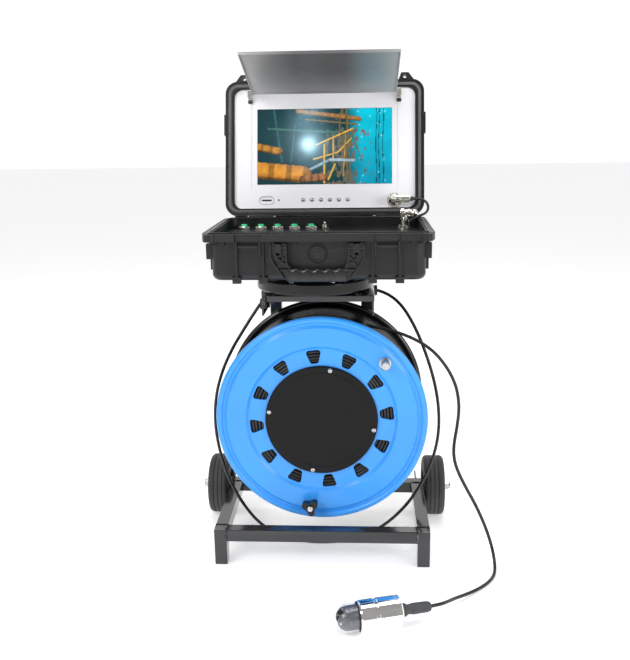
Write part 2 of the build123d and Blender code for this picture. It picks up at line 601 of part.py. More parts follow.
def shade_brackets():
    """Two small brackets that hold the sunshade's pins."""
    made = []
    for s in (-1, 1):
        x0, x1 = sorted((s * (SHADE_W / 2 + 1), s * (SHADE_W / 2 + 8)))
        ear = block(x0, x1, SHADE_UP - 8, SHADE_UP + 4, PANEL_FACE, SHADE_OUT + 4)
        foot = block(x0, x1, SHADE_UP - 15, SHADE_UP - 8, PANEL_FACE, PANEL_FACE + 2)
        ear -= Pos((x0 + x1) / 2, SHADE_UP, SHADE_OUT) * Rot(0, 90, 0) * Cylinder(1.5 + RUNNING_GAP, 9)
        made.append(LID * (ear + foot))
    return made


def sunshade():
    """Thin folded sheet, with a stiffened edge on three sides and a pin at each end of its hinge."""
    sheet = Pos(0, SHADE_L / 2 + 1.5) * Box(SHADE_W, SHADE_L, SHADE_T)
    for s in (-1, 1):
        sheet += Pos(s * (SHADE_W / 2 - 0.6), SHADE_L / 2 + 4, 2) * Box(1.2, SHADE_L - 5, 4)
    sheet += Pos(0, SHADE_L + 0.9, 2) * Box(SHADE_W, 1.2, 4)
    sheet += Rot(0, 90, 0) * Cylinder(2.2, SHADE_W)
    sheet += Rot(0, 90, 0) * Cylinder(1.5, SHADE_W + 14)
    turn = Pos(0, SHADE_UP, SHADE_OUT) * Rot(90 - (SHADE_RISE - LEAN), 0, 0)
    return LID * (turn * sheet)


def lid_plug():
    """Socket on the panel with a right-angle plug for the jumper."""
    plug = Pos(115, 26, PANEL_FACE + 5.5) * Cylinder(8, 11)
    plug += Pos(115, 26, PANEL_FACE + 8) * extrude(RegularPolygon(10, 6), 3)
    plug += Pos(121.5, 26, 12) * Rot(0, 90, 0) * Cylinder(6.5, 33)
    plug += Pos(139, 26, 12) * Rot(0, 90, 0) * Cylinder(4.5, 2)
    return LID * plug


def latch(side):
    """Over-centre latch on the lid's edge."""
    top = LID_FOOT + CASE_D
    x = side * LATCH_X
    lever = block(x - LATCH_WIDTH / 2, x + LATCH_WIDTH / 2, top + 1.2, top + 6.5, -24, 20)
    lever += block(x - LATCH_WIDTH / 2, x + LATCH_WIDTH / 2, top - 1.6 + 2.8, top + 9, 12, 20)
    lever -= block(x - 10, x + 10, top + 5, top + 7, -14, 8)
    lever += Pos(x, top + 4, -16) * Rot(0, 90, 0) * Cylinder(2.0, LATCH_WIDTH + 5)
    return LID * lever


# ---------------------------------------------------------------- camera head, along its own axis

def camera_dome():
    """Clear dome over the camera eye."""
    def shape(r, base):
        return Pos(0, 0, (DOME_R + base) / 2) * Cylinder(r, base - DOME_R) + Pos(0, 0, DOME_R) * Sphere(r)
    return HEAD * (shape(DOME_R, DOME_BASE) - shape(DOME_R - 1.5, DOME_BASE))


def camera_shell():
    """Polished steel body, open in front for the dome and hollow for the drive."""
    r, end = HEAD_R, HEAD_LENGTH
    section = make_face(Polyline(
        (DOME_R, 33), (r - 1.4, 33), (r, 35), (r, 54), (r - 1.2, 55), (r - 1.2, 58), (r, 59),
        (r, end - 8), (r - 0.8, end - 7.4), (r - 0.8, end - 6.4), (r, end - 5.8), (r, end - 2), (r - 2, end),
        (7.2, end), (7.2, end - 5), (r - 3.5, end - 5), (r - 3.5, DOME_BASE), (DOME_R, DOME_BASE),
        close=True))
    return HEAD * revolve(Plane.XZ * section, Axis.Z)


def head_drive():
    """Motor and board inside the head, behind the pan yoke."""
    return HEAD * (Pos(0, 0, 60) * Cylinder(13, 30) + Pos(0, 0, DOME_BASE + 4.2) * Cylinder(3, 8))


def pan_yoke():
    """Fork that carries the eye and turns about the head's axis."""
    base = Pos(0, 0, DOME_BASE - 1.5) * Cylinder(14.5, 3)
    for s in (-1, 1):
        base += Pos(0, s * 11.7, 27.5) * Box(7, 1.8, 18)
        base -= Pos(0, s * 11.7, EYE_AT + 1) * Rot(90, 0, 0) * Cylinder(2.0 + RUNNING_GAP, 6)
    return HEAD * base


def camera_eye():
    """Round camera module with its lens, tilting between the fork's arms."""
    eye = Pos(0, 0, EYE_AT + 1) * (Sphere(10.2) + Rot(90, 0, 0) * Cylinder(2.0, 25))
    eye += Pos(0, 0, EYE_AT - 8.5) * Cylinder(4.5, 4)
    return HEAD * eye


def strain_relief():
    """Waisted rubber boot behind the head."""
    a, b = HEAD_LENGTH, HEAD_LENGTH + BOOT_LENGTH
    profile = [(0, a), (9.0, a), (9.0, a + 7), (6.6, a + 11), (6.6, a + 14), (7.6, a + 18), (7.4, b - 6),
               (6.2, b - 1), (4.4, b), (0, b)]
    boot = revolve(Plane.XZ * make_face(Polyline(*profile, close=True)), Axis.Z)
    return HEAD * (boot + Pos(0, 0, a - 2) * Cylinder(7.2, 4))


# ---------------------------------------------------------------- cables

def cable(route, diameter, name):
    """A tube of straight runs joined by arcs as large as the runs allow."""
    points = [Vector(*p) for p in route]
    radii = []
    for before, here, after in zip(points, points[1:], points[2:]):
        run = min((here - before).length, (after - here).length)
        turn = math.radians((here - before).get_angle(after - here))
        radii.append(0.45 * run / math.tan(turn / 2))
    path = FilletPolyline(*points, radius=radii)
    start = Plane(origin=points[0], z_dir=points[1] - points[0])
    tube = sweep(start * Circle(diameter / 2), path=path, transition=Transition.RIGHT)
    expected = math.pi * diameter ** 2 / 4 * path.length
    print(f"{name}: length {path.length:.0f}, smallest radius {min(radii):.0f}, "
          f"volume ratio {tube.volume / expected:.4f}")
    return tube


# ---------------------------------------------------------------- the set

def all_nodes():
    nodes = {
        "base_frame": base_frame(), "rear_posts": rear_posts(), "top_bracket": top_bracket(),
        "cable_glands": cable_glands(), "reel_spindle": spindle(), "wheel_axle": wheel_axle(),
        "swivel_bearing": swivel_bearing(),
        "front_flange": front_flange(), "rear_flange": rear_flange(), "reel_drum": reel_drum(),
        "reel_bearings": reel_bearings(), "slip_ring": slip_ring(), "wound_cable": wound_cable(),
        "hub_cover": hub_cover(), "hub_screws": hub_screws(), "flange_posts": [flange_peg(), knob_stem()],
        "lock_knob": lock_knob(),
        "turntable_disc": turntable_disc(), "case_base": case_base(), "hinge_pins": hinge_pins(),
        "base_panel": base_panel(), "switch_collars": button_collars() + [toggle_base()],
        "toggle_lever": toggle_lever(), "bnc_tee": bnc_tee(), "purge_valve": purge_valve(),
        "carry_handle": carry_handle(), "battery_pack": battery_pack(), "control_board": control_board(),
        "lid_shell": lid_shell(), "lid_panel": lid_panel(), "display_module": display_module(),
        "shade_brackets": shade_brackets(), "sunshade": sunshade(), "lid_plug": lid_plug(),
        "camera_dome": camera_dome(), "camera_shell": camera_shell(), "head_drive": head_drive(),
        "pan_yoke": pan_yoke(), "camera_eye": camera_eye(), "strain_relief": strain_relief(),
        "lead_cable": cable(LEAD_ROUTE, CABLE, "lead_cable"),
        "camera_cable": cable(CAMERA_ROUTE, CABLE, "camera_cable"),
        "jumper_cable": cable(JUMPER_ROUTE, JUMPER, "jumper_cable"),
    }
    for word, side in (("left", -1), ("right", 1)):
        nodes[f"tyre_{word}"] = tyre(side)
        nodes[f"wheel_hub_{word}"] = wheel_hub(side)
        nodes[f"latch_{word}"] = latch(side)
    for i in range(5):
        nodes[f"push_button_{i + 1}"] = push_button(i)
    for i in range(KEYS):
        nodes[f"panel_key_{i + 1}"] = panel_key(i)
    return nodes


os.makedirs("parts", exist_ok=True)
for node, shape in all_nodes().items():
    solids = shape if isinstance(shape, list) else [shape]
    export_step(Compound(children=[s for part in solids for s in part.solids()]), f"parts/{node}.step")
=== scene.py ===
import json
import math
import random

import bmesh
import bpy
from mathutils import Matrix, Vector


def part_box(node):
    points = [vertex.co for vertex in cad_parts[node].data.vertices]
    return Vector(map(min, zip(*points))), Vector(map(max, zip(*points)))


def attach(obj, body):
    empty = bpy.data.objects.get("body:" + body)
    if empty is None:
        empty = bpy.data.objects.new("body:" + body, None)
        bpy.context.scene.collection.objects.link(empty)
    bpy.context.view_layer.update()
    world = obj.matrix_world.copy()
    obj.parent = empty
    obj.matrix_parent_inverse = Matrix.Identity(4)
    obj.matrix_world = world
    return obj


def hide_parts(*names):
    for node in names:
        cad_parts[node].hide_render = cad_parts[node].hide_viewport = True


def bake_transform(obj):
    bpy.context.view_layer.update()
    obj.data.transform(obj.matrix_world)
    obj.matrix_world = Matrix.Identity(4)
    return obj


# Looks of the pipe inspection camera, in metres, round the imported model.

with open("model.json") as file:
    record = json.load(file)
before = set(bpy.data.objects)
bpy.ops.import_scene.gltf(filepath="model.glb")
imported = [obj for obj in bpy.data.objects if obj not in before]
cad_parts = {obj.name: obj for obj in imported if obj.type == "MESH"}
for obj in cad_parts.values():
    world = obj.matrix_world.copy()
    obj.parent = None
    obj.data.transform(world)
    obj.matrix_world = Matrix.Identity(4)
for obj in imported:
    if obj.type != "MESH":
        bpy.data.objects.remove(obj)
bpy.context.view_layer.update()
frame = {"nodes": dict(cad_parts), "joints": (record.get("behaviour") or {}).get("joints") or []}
NODES = frame["nodes"]
JOINTS = {j["name"]: j for j in frame["joints"]}
MM = 0.001
X_AXIS = Vector((1, 0, 0))


def placed(origin, x, z):
    """Matrix of a part's own axes, from its origin, its x and its z."""
    x, z = Vector(x).normalized(), Vector(z).normalized()
    turned = Matrix((x, z.cross(x), z)).transposed().to_4x4()
    turned.translation = Vector(origin)
    return turned


# ---- the parts' own axes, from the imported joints
LID = placed(JOINTS["lid_hinge"]["pos_m"], X_AXIS, -Vector(JOINTS["key_1_press"]["axis"]))
HEAD_AXIS = Vector(JOINTS["camera_pan_turn"]["axis"])
HEAD_TIP = Vector(JOINTS["camera_pan_turn"]["pos_m"]) - HEAD_AXIS * 38 * MM
HEAD = placed(HEAD_TIP, (0, 0, 1), HEAD_AXIS)
REEL_CENTRE = Vector(JOINTS["reel_spin"]["pos_m"])
REEL = placed(REEL_CENTRE, X_AXIS, (0, -1, 0))
HANDLE = placed(JOINTS["handle_swing"]["pos_m"], X_AXIS, (0, -1, 0))
FRAME = Matrix.Identity(4)

# ---- sizes that several pieces share
CABLE = 5.0 * MM
JUMPER = 4.2 * MM
CASE_W, CASE_D, CASE_Y = 327 * MM, 222 * MM, 39 * MM
CASE_FRONT = CASE_Y - CASE_D / 2
CASE_RIM = 512.5 * MM
PANEL_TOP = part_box("base_panel")[1].z
LID_MIDDLE = 113 * MM                 # middle of the lid, up from its hinge
PANEL_FACE = -5 * MM                  # the white panel's face, from the lid's rim

LEAD_ROUTE = [
    (0.0865, 0.112, 0.398), (0.103, 0.109, 0.394), (0.127, 0.096, 0.376), (0.148, 0.077, 0.342),
    (0.164, 0.062, 0.303), (0.177, 0.054, 0.261), (0.1845, 0.05, 0.217), (0.1845, 0.048, 0.172),
    (0.174, 0.044, 0.128), (0.155, 0.037, 0.089), (0.128, 0.029, 0.053), (0.092, 0.02, 0.024),
    (0.05, 0.013, 0.007), (0.008, 0.01, 0.0028), (-0.034, 0.011, 0.0036), (-0.076, 0.015, 0.012),
    (-0.11, 0.022, 0.033), (-0.136, 0.03, 0.065), (-0.156, 0.037, 0.101), (-0.169, 0.043, 0.142),
    (-0.176, 0.047, 0.186), (-0.1745, 0.05, 0.231), (-0.164, 0.052, 0.273), (-0.146, 0.055, 0.313),
    (-0.124, 0.059, 0.348), (-0.109, 0.064, 0.371), (-0.099, 0.069, 0.385),
]
CAMERA_ROUTE = [
    (0.069, 0.028, 0.3595), (0.101, 0.025, 0.354), (0.135, 0.021, 0.3435), (0.166, 0.015, 0.327),
    (0.189, 0.009, 0.302), (0.205, 0.004, 0.272), (0.2105, 0, 0.238), (0.207, -0.004, 0.206),
    (0.2015, -0.009, 0.175), (0.204, -0.015, 0.15), (0.217, -0.025, 0.123), (0.235, -0.036, 0.093),
    (0.25, -0.046, 0.06), (0.26, -0.051, 0.029), (0.263, -0.063, 0.008), (0.259, -0.084, 0.0032),
    (0.247, -0.105, 0.0027), (0.229, -0.125, 0.0034), (0.209, -0.144, 0.0062), (0.191, -0.1625, 0.011),
    (0.178, -0.181, 0.0165), (0.167, -0.193, 0.0202), (0.1551, -0.1993, 0.0215),
]
JUMPER_ROUTE = [
    (0.1416, 0.14965, 0.5416), (0.155, 0.149, 0.5416), (0.166, 0.146, 0.537), (0.1695, 0.1405, 0.527),
    (0.164, 0.1335, 0.5188), (0.1515, 0.124, 0.516), (0.1415, 0.118, 0.5115), (0.1365, 0.116, 0.508),
]


def new_object(name, data):
    """Puts a new object in the scene."""
    made = bpy.data.objects.new(name, data)
    bpy.context.scene.collection.objects.link(made)
    return made


# ---------------------------------------------------------------- camera

def make_camera():
    """A portrait view from the front, a little above the case and to its right."""
    yaw, pitch, roll = (math.radians(a) for a in (-3.35, 13.68, -0.82))
    ahead = Vector((math.sin(yaw) * math.cos(pitch), math.cos(yaw) * math.cos(pitch), -math.sin(pitch)))
    level = Vector((math.cos(yaw), -math.sin(yaw), 0))
    upright = level.cross(ahead)
    right = math.cos(roll) * level + math.sin(roll) * upright
    up = right.cross(ahead)
    data = bpy.data.cameras.new("camera")
    data.sensor_width = 36
    data.lens = 45.16
    data.clip_start, data.clip_end = 0.05, 50
    camera = new_object("camera", data)
    turned = Matrix((right, up, -ahead)).transposed().to_4x4()
    turned.translation = (0.062, -1.210, 0.654)
    camera.matrix_world = turned
    bpy.context.scene.camera = camera


# ---------------------------------------------------------------- materials

M = {}                                # the materials by name


def nodes_of(name):
    """Node tree and shader of a new material."""
    M[name] = bpy.data.materials.new(name)
    M[name].use_nodes = True
    tree = M[name].node_tree
    return tree, tree.nodes["Principled BSDF"]


def feed(tree, socket, value):
    """Gives a node's input a value, or another node's output."""
    if isinstance(value, bpy.types.NodeSocket):
        tree.links.new(value, socket)
    else:
        socket.default_value = value


def preset(tree, node, **values):
    """Feeds a node's inputs; an underscore in a name stands for a space."""
    for name, value in values.items():
        feed(tree, node.inputs[name.replace("_", " ")], value)


def noise(tree, scale, detail=4.0, stretch=None):
    """Noise in the part's own metres, stretched along an axis for a brushed grain."""
    where = tree.nodes.new("ShaderNodeTexCoord").outputs["Object"]
    if stretch:
        mapping = tree.nodes.new("ShaderNodeMapping")
        preset(tree, mapping, Scale=stretch, Vector=where)
        where = mapping.outputs["Vector"]
    texture = tree.nodes.new("ShaderNodeTexNoise")
    preset(tree, texture, Scale=scale, Detail=detail, Vector=where)
    return texture.outputs["Fac"]


def between(tree, value, low, high, from_low=0.3, from_high=0.7):
    """A value such as noise, spread out as a number from low to high."""
    spread = tree.nodes.new("ShaderNodeMapRange")
    preset(tree, spread, Value=value, From_Min=from_low, From_Max=from_high, To_Min=low, To_Max=high)
    return spread.outputs["Result"]


def tinted(tree, factor, dark, light):
    """From one colour to another by a factor."""
    mix = tree.nodes.new("ShaderNodeMix")
    mix.data_type = "RGBA"
    for i, value in ((0, factor), (6, dark), (7, light)):
        feed(tree, mix.inputs[i], (*value, 1) if isinstance(value, (tuple, list)) else value)
    return mix.outputs[2]


def calculated(tree, operation, *values):
    """A Math node's result; each value is a socket or a number."""
    node = tree.nodes.new("ShaderNodeMath")
    node.operation = operation
    for socket, value in zip(node.inputs, values):
        feed(tree, socket, value)
    return node.outputs[0]


def spot_in_box(tree):
    """X, Y and Z of a spot within the object's box; in the surround, of its direction."""
    apart = tree.nodes.new("ShaderNodeSeparateXYZ")
    tree.links.new(tree.nodes.new("ShaderNodeTexCoord").outputs["Generated"], apart.inputs[0])
    return apart.outputs


def add_relief(tree, shader, height, strength, depth):
    """Bumps the surface by a height."""
    relief = tree.nodes.new("ShaderNodeBump")
    preset(tree, relief, Strength=strength, Distance=depth, Height=height)
    preset(tree, shader, Normal=relief.outputs["Normal"])


def finish(name, colour, rough, metal=0.0, vary=0.12, patch=18.0, grain=900.0, bump=0.15, depth=0.05 * MM,
           coat=0.0, stretch=None, wear=0.0, specular=0.5):
    """A surface with mottled colour, uneven gloss and a fine grain; wear lightens its exposed edges."""
    tree, shader = nodes_of(name)
    broad = noise(tree, patch, 3.0, stretch)
    fine = noise(tree, grain, 2.0, stretch)
    dark = [c * (1 - vary) for c in colour]
    light = [min(1.0, c * (1 + vary)) for c in colour]
    skin = tinted(tree, between(tree, broad, 0, 1), dark, light)
    if wear:
        edge = tree.nodes.new("ShaderNodeNewGeometry").outputs["Pointiness"]
        rubbed = between(tree, edge, 0, wear, 0.52, 0.60)
        skin = tinted(tree, rubbed, skin, [min(1.0, c * 2 + 0.06) for c in colour])
    gloss = between(tree, broad, rough * 0.85, min(1.0, rough * 1.2))
    preset(tree, shader, Base_Color=skin, Roughness=gloss, Metallic=metal, Coat_Weight=coat,
           Coat_Roughness=0.08, Specular_IOR_Level=specular)
    add_relief(tree, shader, fine, bump, depth)


def shade_metal():
    """Rolled sheet with a painted reflection: lighter towards its ends and its lower edge."""
    tree, shader = nodes_of("shade")
    spot = spot_in_box(tree)
    # painted reflection: the colour is made lighter towards the sheet's ends and lower edge, standing for
    # light reflected off it
    from_middle = calculated(tree, "ABSOLUTE", calculated(tree, "SUBTRACT", spot["X"], 0.5))
    ends = between(tree, from_middle, 0.0, 0.8, 0.15, 0.5)
    lower = between(tree, spot["Z"], 0.35, 0.0, 0.0, 0.6)
    painted_sheen = calculated(tree, "MINIMUM", calculated(tree, "ADD", ends, lower), 1.0)
    painted_sheen = calculated(tree, "MULTIPLY_ADD", noise(tree, 14, 3.0), 0.22, painted_sheen)
    skin = tinted(tree, painted_sheen, (0.10, 0.10, 0.105), (0.46, 0.46, 0.465))
    gloss = between(tree, noise(tree, 40), 0.38, 0.5)
    preset(tree, shader, Base_Color=skin, Roughness=gloss, Metallic=0.45)
    add_relief(tree, shader, noise(tree, 700, 2.0, (1, 8, 8)), 0.1, 0.05 * MM)


def clear_dome():
    """Clear plastic with a slightly uneven gloss."""
    tree, shader = nodes_of("dome_clear")
    gloss = between(tree, noise(tree, 60, 2.0), 0.0, 0.03)
    preset(tree, shader, Base_Color=(0.97, 0.98, 1.0, 1), Roughness=gloss, Transmission_Weight=1.0, IOR=1.2)


def lit(name, colour, strength, vary=0.15):
    """A small lit part, such as a lamp."""
    tree, shader = nodes_of(name)
    shade = tinted(tree, between(tree, noise(tree, 400), 0, 1), [c * (1 - vary) for c in colour], colour)
    preset(tree, shader, Base_Color=shade, Emission_Color=shade, Emission_Strength=strength, Roughness=0.3)


def painted_picture():
    """Light of the display, from the colours painted on its mesh, under a gloss face."""
    tree, shader = nodes_of("picture")
    paint = tree.nodes.new("ShaderNodeVertexColor")
    paint.layer_name = "paint"
    preset(tree, shader, Base_Color=(0, 0, 0, 1), Emission_Color=paint.outputs["Color"],
           Emission_Strength=1.0, Roughness=0.35, Specular_IOR_Level=0.2)


finish("enamel", (0.009, 0.009, 0.011), 0.14, vary=0.25, grain=260, bump=0.06, coat=0.5, wear=0.2)
finish("satin", (0.006, 0.006, 0.0065), 0.2, vary=0.2, grain=500, bump=0.08, coat=0.15, specular=0.3)
finish("steel", (0.55, 0.55, 0.56), 0.26, 1.0, vary=0.12, patch=60, grain=1500, bump=0.1)
finish("nickel", (0.80, 0.77, 0.70), 0.14, 1.0, vary=0.1, patch=120, grain=1800, bump=0.08)
finish("blue", (0.037, 0.335, 0.95), 0.30, vary=0.07, patch=9, grain=350, bump=0.22, depth=0.12 * MM,
       coat=0.25)
finish("leatherette", (0.006, 0.006, 0.0065), 0.42, vary=0.25, patch=30, grain=1300, bump=0.5,
       depth=0.15 * MM, specular=0.2)
finish("cable", (0.012, 0.012, 0.013), 0.28, vary=0.3, patch=40, grain=900, bump=0.12)
finish("nylon", (0.025, 0.025, 0.027), 0.45, grain=1200, bump=0.2)
finish("grey_plastic", (0.075, 0.078, 0.083), 0.5, grain=1100, bump=0.2)
finish("tyre", (0.035, 0.034, 0.036), 0.62, vary=0.35, patch=26, grain=700, bump=0.4, depth=0.12 * MM,
       wear=0.3)
finish("hub", (0.05, 0.05, 0.055), 0.5, grain=900, bump=0.2)
finish("case", (0.010, 0.0105, 0.0115), 0.36, vary=0.2, patch=14, grain=1600, bump=0.35, depth=0.08 * MM,
       wear=0.10, specular=0.4)
finish("case_gloss", (0.010, 0.0105, 0.0115), 0.25, vary=0.2, patch=22, grain=900, bump=0.1)
finish("panel", (0.012, 0.012, 0.013), 0.4, vary=0.2, patch=12, grain=1200, bump=0.15, specular=0.35)
finish("white", (0.91, 0.91, 0.94), 0.3, vary=0.025, patch=7, grain=1400, bump=0.06, coat=0.2)
shade_metal()
finish("green", (0.01, 0.60, 0.25), 0.16, vary=0.2, patch=160, grain=900, bump=0.04, coat=0.6)
finish("board", (0.01, 0.16, 0.05), 0.4, vary=0.3, patch=90, grain=500, bump=0.2)
finish("mirror_steel", (0.88, 0.87, 0.855), 0.10, 1.0, vary=0.04, patch=40, grain=700, bump=0.02,
       stretch=(1, 1, 1))
finish("boot", (0.055, 0.058, 0.062), 0.55, vary=0.25, patch=90, grain=1500, bump=0.6, depth=0.12 * MM)
finish("lens_black", (0.01, 0.01, 0.012), 0.12, grain=600, bump=0.03, coat=0.8)
finish("liner", (0.19, 0.195, 0.21), 0.26, 0.2, vary=0.08, patch=30, grain=1100, bump=0.04)
finish("seal", (0.10, 0.10, 0.105), 0.6, vary=0.15, grain=800, bump=0.2)
clear_dome()
lit("lamp", (0.75, 0.74, 0.68), 0.15)
painted_picture()


def dress(node, material):
    """Gives a CAD node its finish."""
    NODES[node].material_slots[0].material = M[material]


def soften(width, *names, angle=40):
    """Rounds a CAD node's sharp edges."""
    for name in names:
        solid = NODES[name]
        weld = solid.modifiers.new("weld", "WELD")
        weld.merge_threshold = 0.004 * MM
        edge = solid.modifiers.new("edges", "BEVEL")
        edge.width = width
        edge.segments = 2
        edge.limit_method = "ANGLE"
        edge.angle_limit = math.radians(angle)
        edge.miter_outer = "MITER_ARC"
        solid.modifiers.new("normals", "WEIGHTED_NORMAL").keep_sharp = True


# ---------------------------------------------------------------- mesh tools

def piece(name, bm, at, body, material, replaces=(), sharp=35):
    """Makes a piece of a bmesh drawn in a part's own axes, and lets it ride on its body."""
    bmesh.ops.remove_doubles(bm, verts=bm.verts, dist=0.002 * MM)
    bmesh.ops.recalc_face_normals(bm, faces=bm.faces)
    mesh = bpy.data.meshes.new(name)
    bm.to_mesh(mesh)
    bm.free()
    mesh.transform(at)
    mesh.polygons.foreach_set("use_smooth", [True] * len(mesh.polygons))
    mesh.set_sharp_from_angle(angle=math.radians(sharp))
    mesh.materials.append(M[material])
    made = new_object(name, mesh)
    if body:
        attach(made, body)
    if replaces:
        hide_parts(*replaces)
    return made


def angles(count):
    """Evenly spread angles round a circle."""
    return [2 * math.pi * i / count for i in range(count)]


def polar(radius, angle, centre=(0, 0)):
    """The point of a circle at an angle."""
    return centre[0] + radius * math.cos(angle), centre[1] + radius * math.sin(angle)


def add_rings(bm, rings):
    """Skins a row of closed rings of points, joined in order."""
    made = [[bm.verts.new(p) for p in ring] for ring in rings]
    for a, b in zip(made, made[1:]):
        n = len(a)
        for i in range(n):
            j = (i + 1) % n
            bm.faces.new((a[i], a[j], b[j], b[i]))
    return made


def add_capped_rings(bm, rings):
    """Skins a row of rings and closes both ends."""
    made = add_rings(bm, rings)
    bm.faces.new(made[0][::-1])
    bm.faces.new(made[-1])


def add_lathe(bm, profile, steps=48, centre=(0, 0), wave=None):
    """Turns (radius, height) points about z; wave(angle) adds to the radius of points with a third value."""
    rings = []
    for r, z, *waved in profile:
        ring = []
        for a in angles(steps):
            grown = r + (wave(a) * waved[0] if waved and wave else 0)
            ring.append((*polar(grown, a, centre), z))
        rings.append(ring)
    made = add_rings(bm, rings)
    for ring, (r, *_) in ((made[0], profile[0]), (made[-1], profile[-1])):
        if r > 0:
            bm.faces.new(ring)


def lifted(height, *points):
    """Profile points given in millimetres, moved up to a height; a third value is kept as it is."""
    return [(r * MM, height + z * MM, *waved) for r, z, *waved in points]


def add_prism(bm, outline, low, high, bevel=0.0):
    """A flat outline pulled from low to high, with softened edges."""
    bottom = [bm.verts.new((x, y, low)) for x, y in outline]
    top = [bm.verts.new((x, y, high)) for x, y in outline]
    faces = [bm.faces.new(bottom[::-1]), bm.faces.new(top)]
    n = len(outline)
    for i in range(n):
        j = (i + 1) % n
        faces.append(bm.faces.new((bottom[i], bottom[j], top[j], top[i])))
    if bevel:
        edges = {e for f in faces for e in f.edges}
        bmesh.ops.bevel(bm, geom=list(edges), offset=bevel, segments=2, affect="EDGES", clamp_overlap=True)


def add_box(bm, low, high, bevel=0.0):
    """A block between two corners."""
    (x0, y0, z0), (x1, y1, z1) = low, high
    add_prism(bm, [(x0, y0), (x1, y0), (x1, y1), (x0, y1)], z0, z1, bevel)


def add_tube(bm, points, radius, sides=12, closed=False):
    """A round tube along points, without twist."""
    points = [Vector(p) for p in points]
    n = len(points)
    side = None
    rings = []
    for i, here in enumerate(points):
        before = points[i - 1] if i or closed else here
        after = points[(i + 1) % n] if i < n - 1 or closed else here
        ahead = (after - before).normalized()
        if side is None:
            side = ahead.orthogonal().normalized()
        side = (side - ahead * side.dot(ahead)).normalized()
        other = ahead.cross(side)
        rings.append([here + radius * (math.cos(a) * side + math.sin(a) * other)
                      for a in angles(sides)])
    if closed:
        add_rings(bm, rings + [rings[0]])
    else:
        add_capped_rings(bm, rings)


def rounded_outline(width, height, radius, middle=(0, 0), steps=10):
    """Points round a rectangle with round corners, each with its outward normal."""
    out = []
    for cx, cy, start in ((1, 1, 0), (-1, 1, 90), (-1, -1, 180), (1, -1, 270)):
        for i in range(steps + 1):
            n = Vector(polar(1, math.radians(start + 90 * i / steps)))
            c = Vector((cx * (width / 2 - radius), cy * (height / 2 - radius))) + Vector(middle)
            out.append((c + n * radius, n))
    return out


def ring_path(radius, steps):
    """Points round a circle, each with its outward normal."""
    normals = [Vector(polar(1, a)) for a in angles(steps)]
    return [(n * radius, n) for n in normals]


def add_band(bm, path, section):
    """A strip round a closed outline: its section is points of (outward, height)."""
    rings = [[(p.x + n.x * d, p.y + n.y * d, z) for d, z in section] for p, n in path]
    add_rings(bm, rings + [rings[0]])


def ridge(width, height, low=0.0):
    """Section of a small crowned ridge."""
    w = width / 2
    return [(-w, low), (-w, low + height * 0.6), (-w * 0.5, low + height), (w * 0.5, low + height),
            (w, low + height * 0.6), (w, low)]


def add_case_ridge(bm, inset, radius, middle, section):
    """A strip round the case's mouth, or the lid's, that much smaller than its outline."""
    add_band(bm, rounded_outline(CASE_W - inset, CASE_D - inset, radius, middle), section)


# ---------------------------------------------------------------- cords

def smooth_line(name, route):
    """Curve data with one smooth spline, whose control points are the route's points."""
    data = bpy.data.curves.new(name, "CURVE")
    data.dimensions = "3D"
    line = data.splines.new("NURBS")
    line.points.add(len(route) - 1)
    for point, place in zip(line.points, route):
        point.co = (*place, 1)
    line.order_u = 3
    line.use_endpoint_u = True
    line.resolution_u = 12
    return data


def cord_curve(name, route, diameter, node):
    """A free cable along a route, in place of its CAD node."""
    data = smooth_line(name, route)
    data.bevel_depth = diameter / 2
    data.bevel_resolution = 4
    data.use_fill_caps = True
    data.materials.append(M["cable"])
    made = new_object(name, data)
    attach(made, "cart")
    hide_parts(node)
    return made


def line_points(route):
    """Points along the smooth spline of a route."""
    holder = bpy.data.objects.new("line", smooth_line("line", route))
    mesh = bpy.data.meshes.new_from_object(holder)
    points = [v.co.copy() for v in mesh.vertices]
    bpy.data.objects.remove(holder)
    bpy.data.meshes.remove(mesh)
    return points


def make_cords():
    """The two free cables, and the jumper from the lid's plug down to the tee."""
    lead = cord_curve("lead", LEAD_ROUTE, CABLE, "lead_cable")
    push = cord_curve("push_cable", CAMERA_ROUTE, CABLE, "camera_cable")
    points = line_points(JUMPER_ROUTE)
    bm = bmesh.new()
    add_tube(bm, points, JUMPER / 2, 14)
    jumper = piece("jumper", bm, FRAME, None, "cable", ["jumper_cable"])
    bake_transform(jumper)


# ---------------------------------------------------------------- reel

PACK_R = 151 * MM
DRUM_R = 84 * MM
PACK_FRONT, PACK_BACK = -11 * MM, 114 * MM


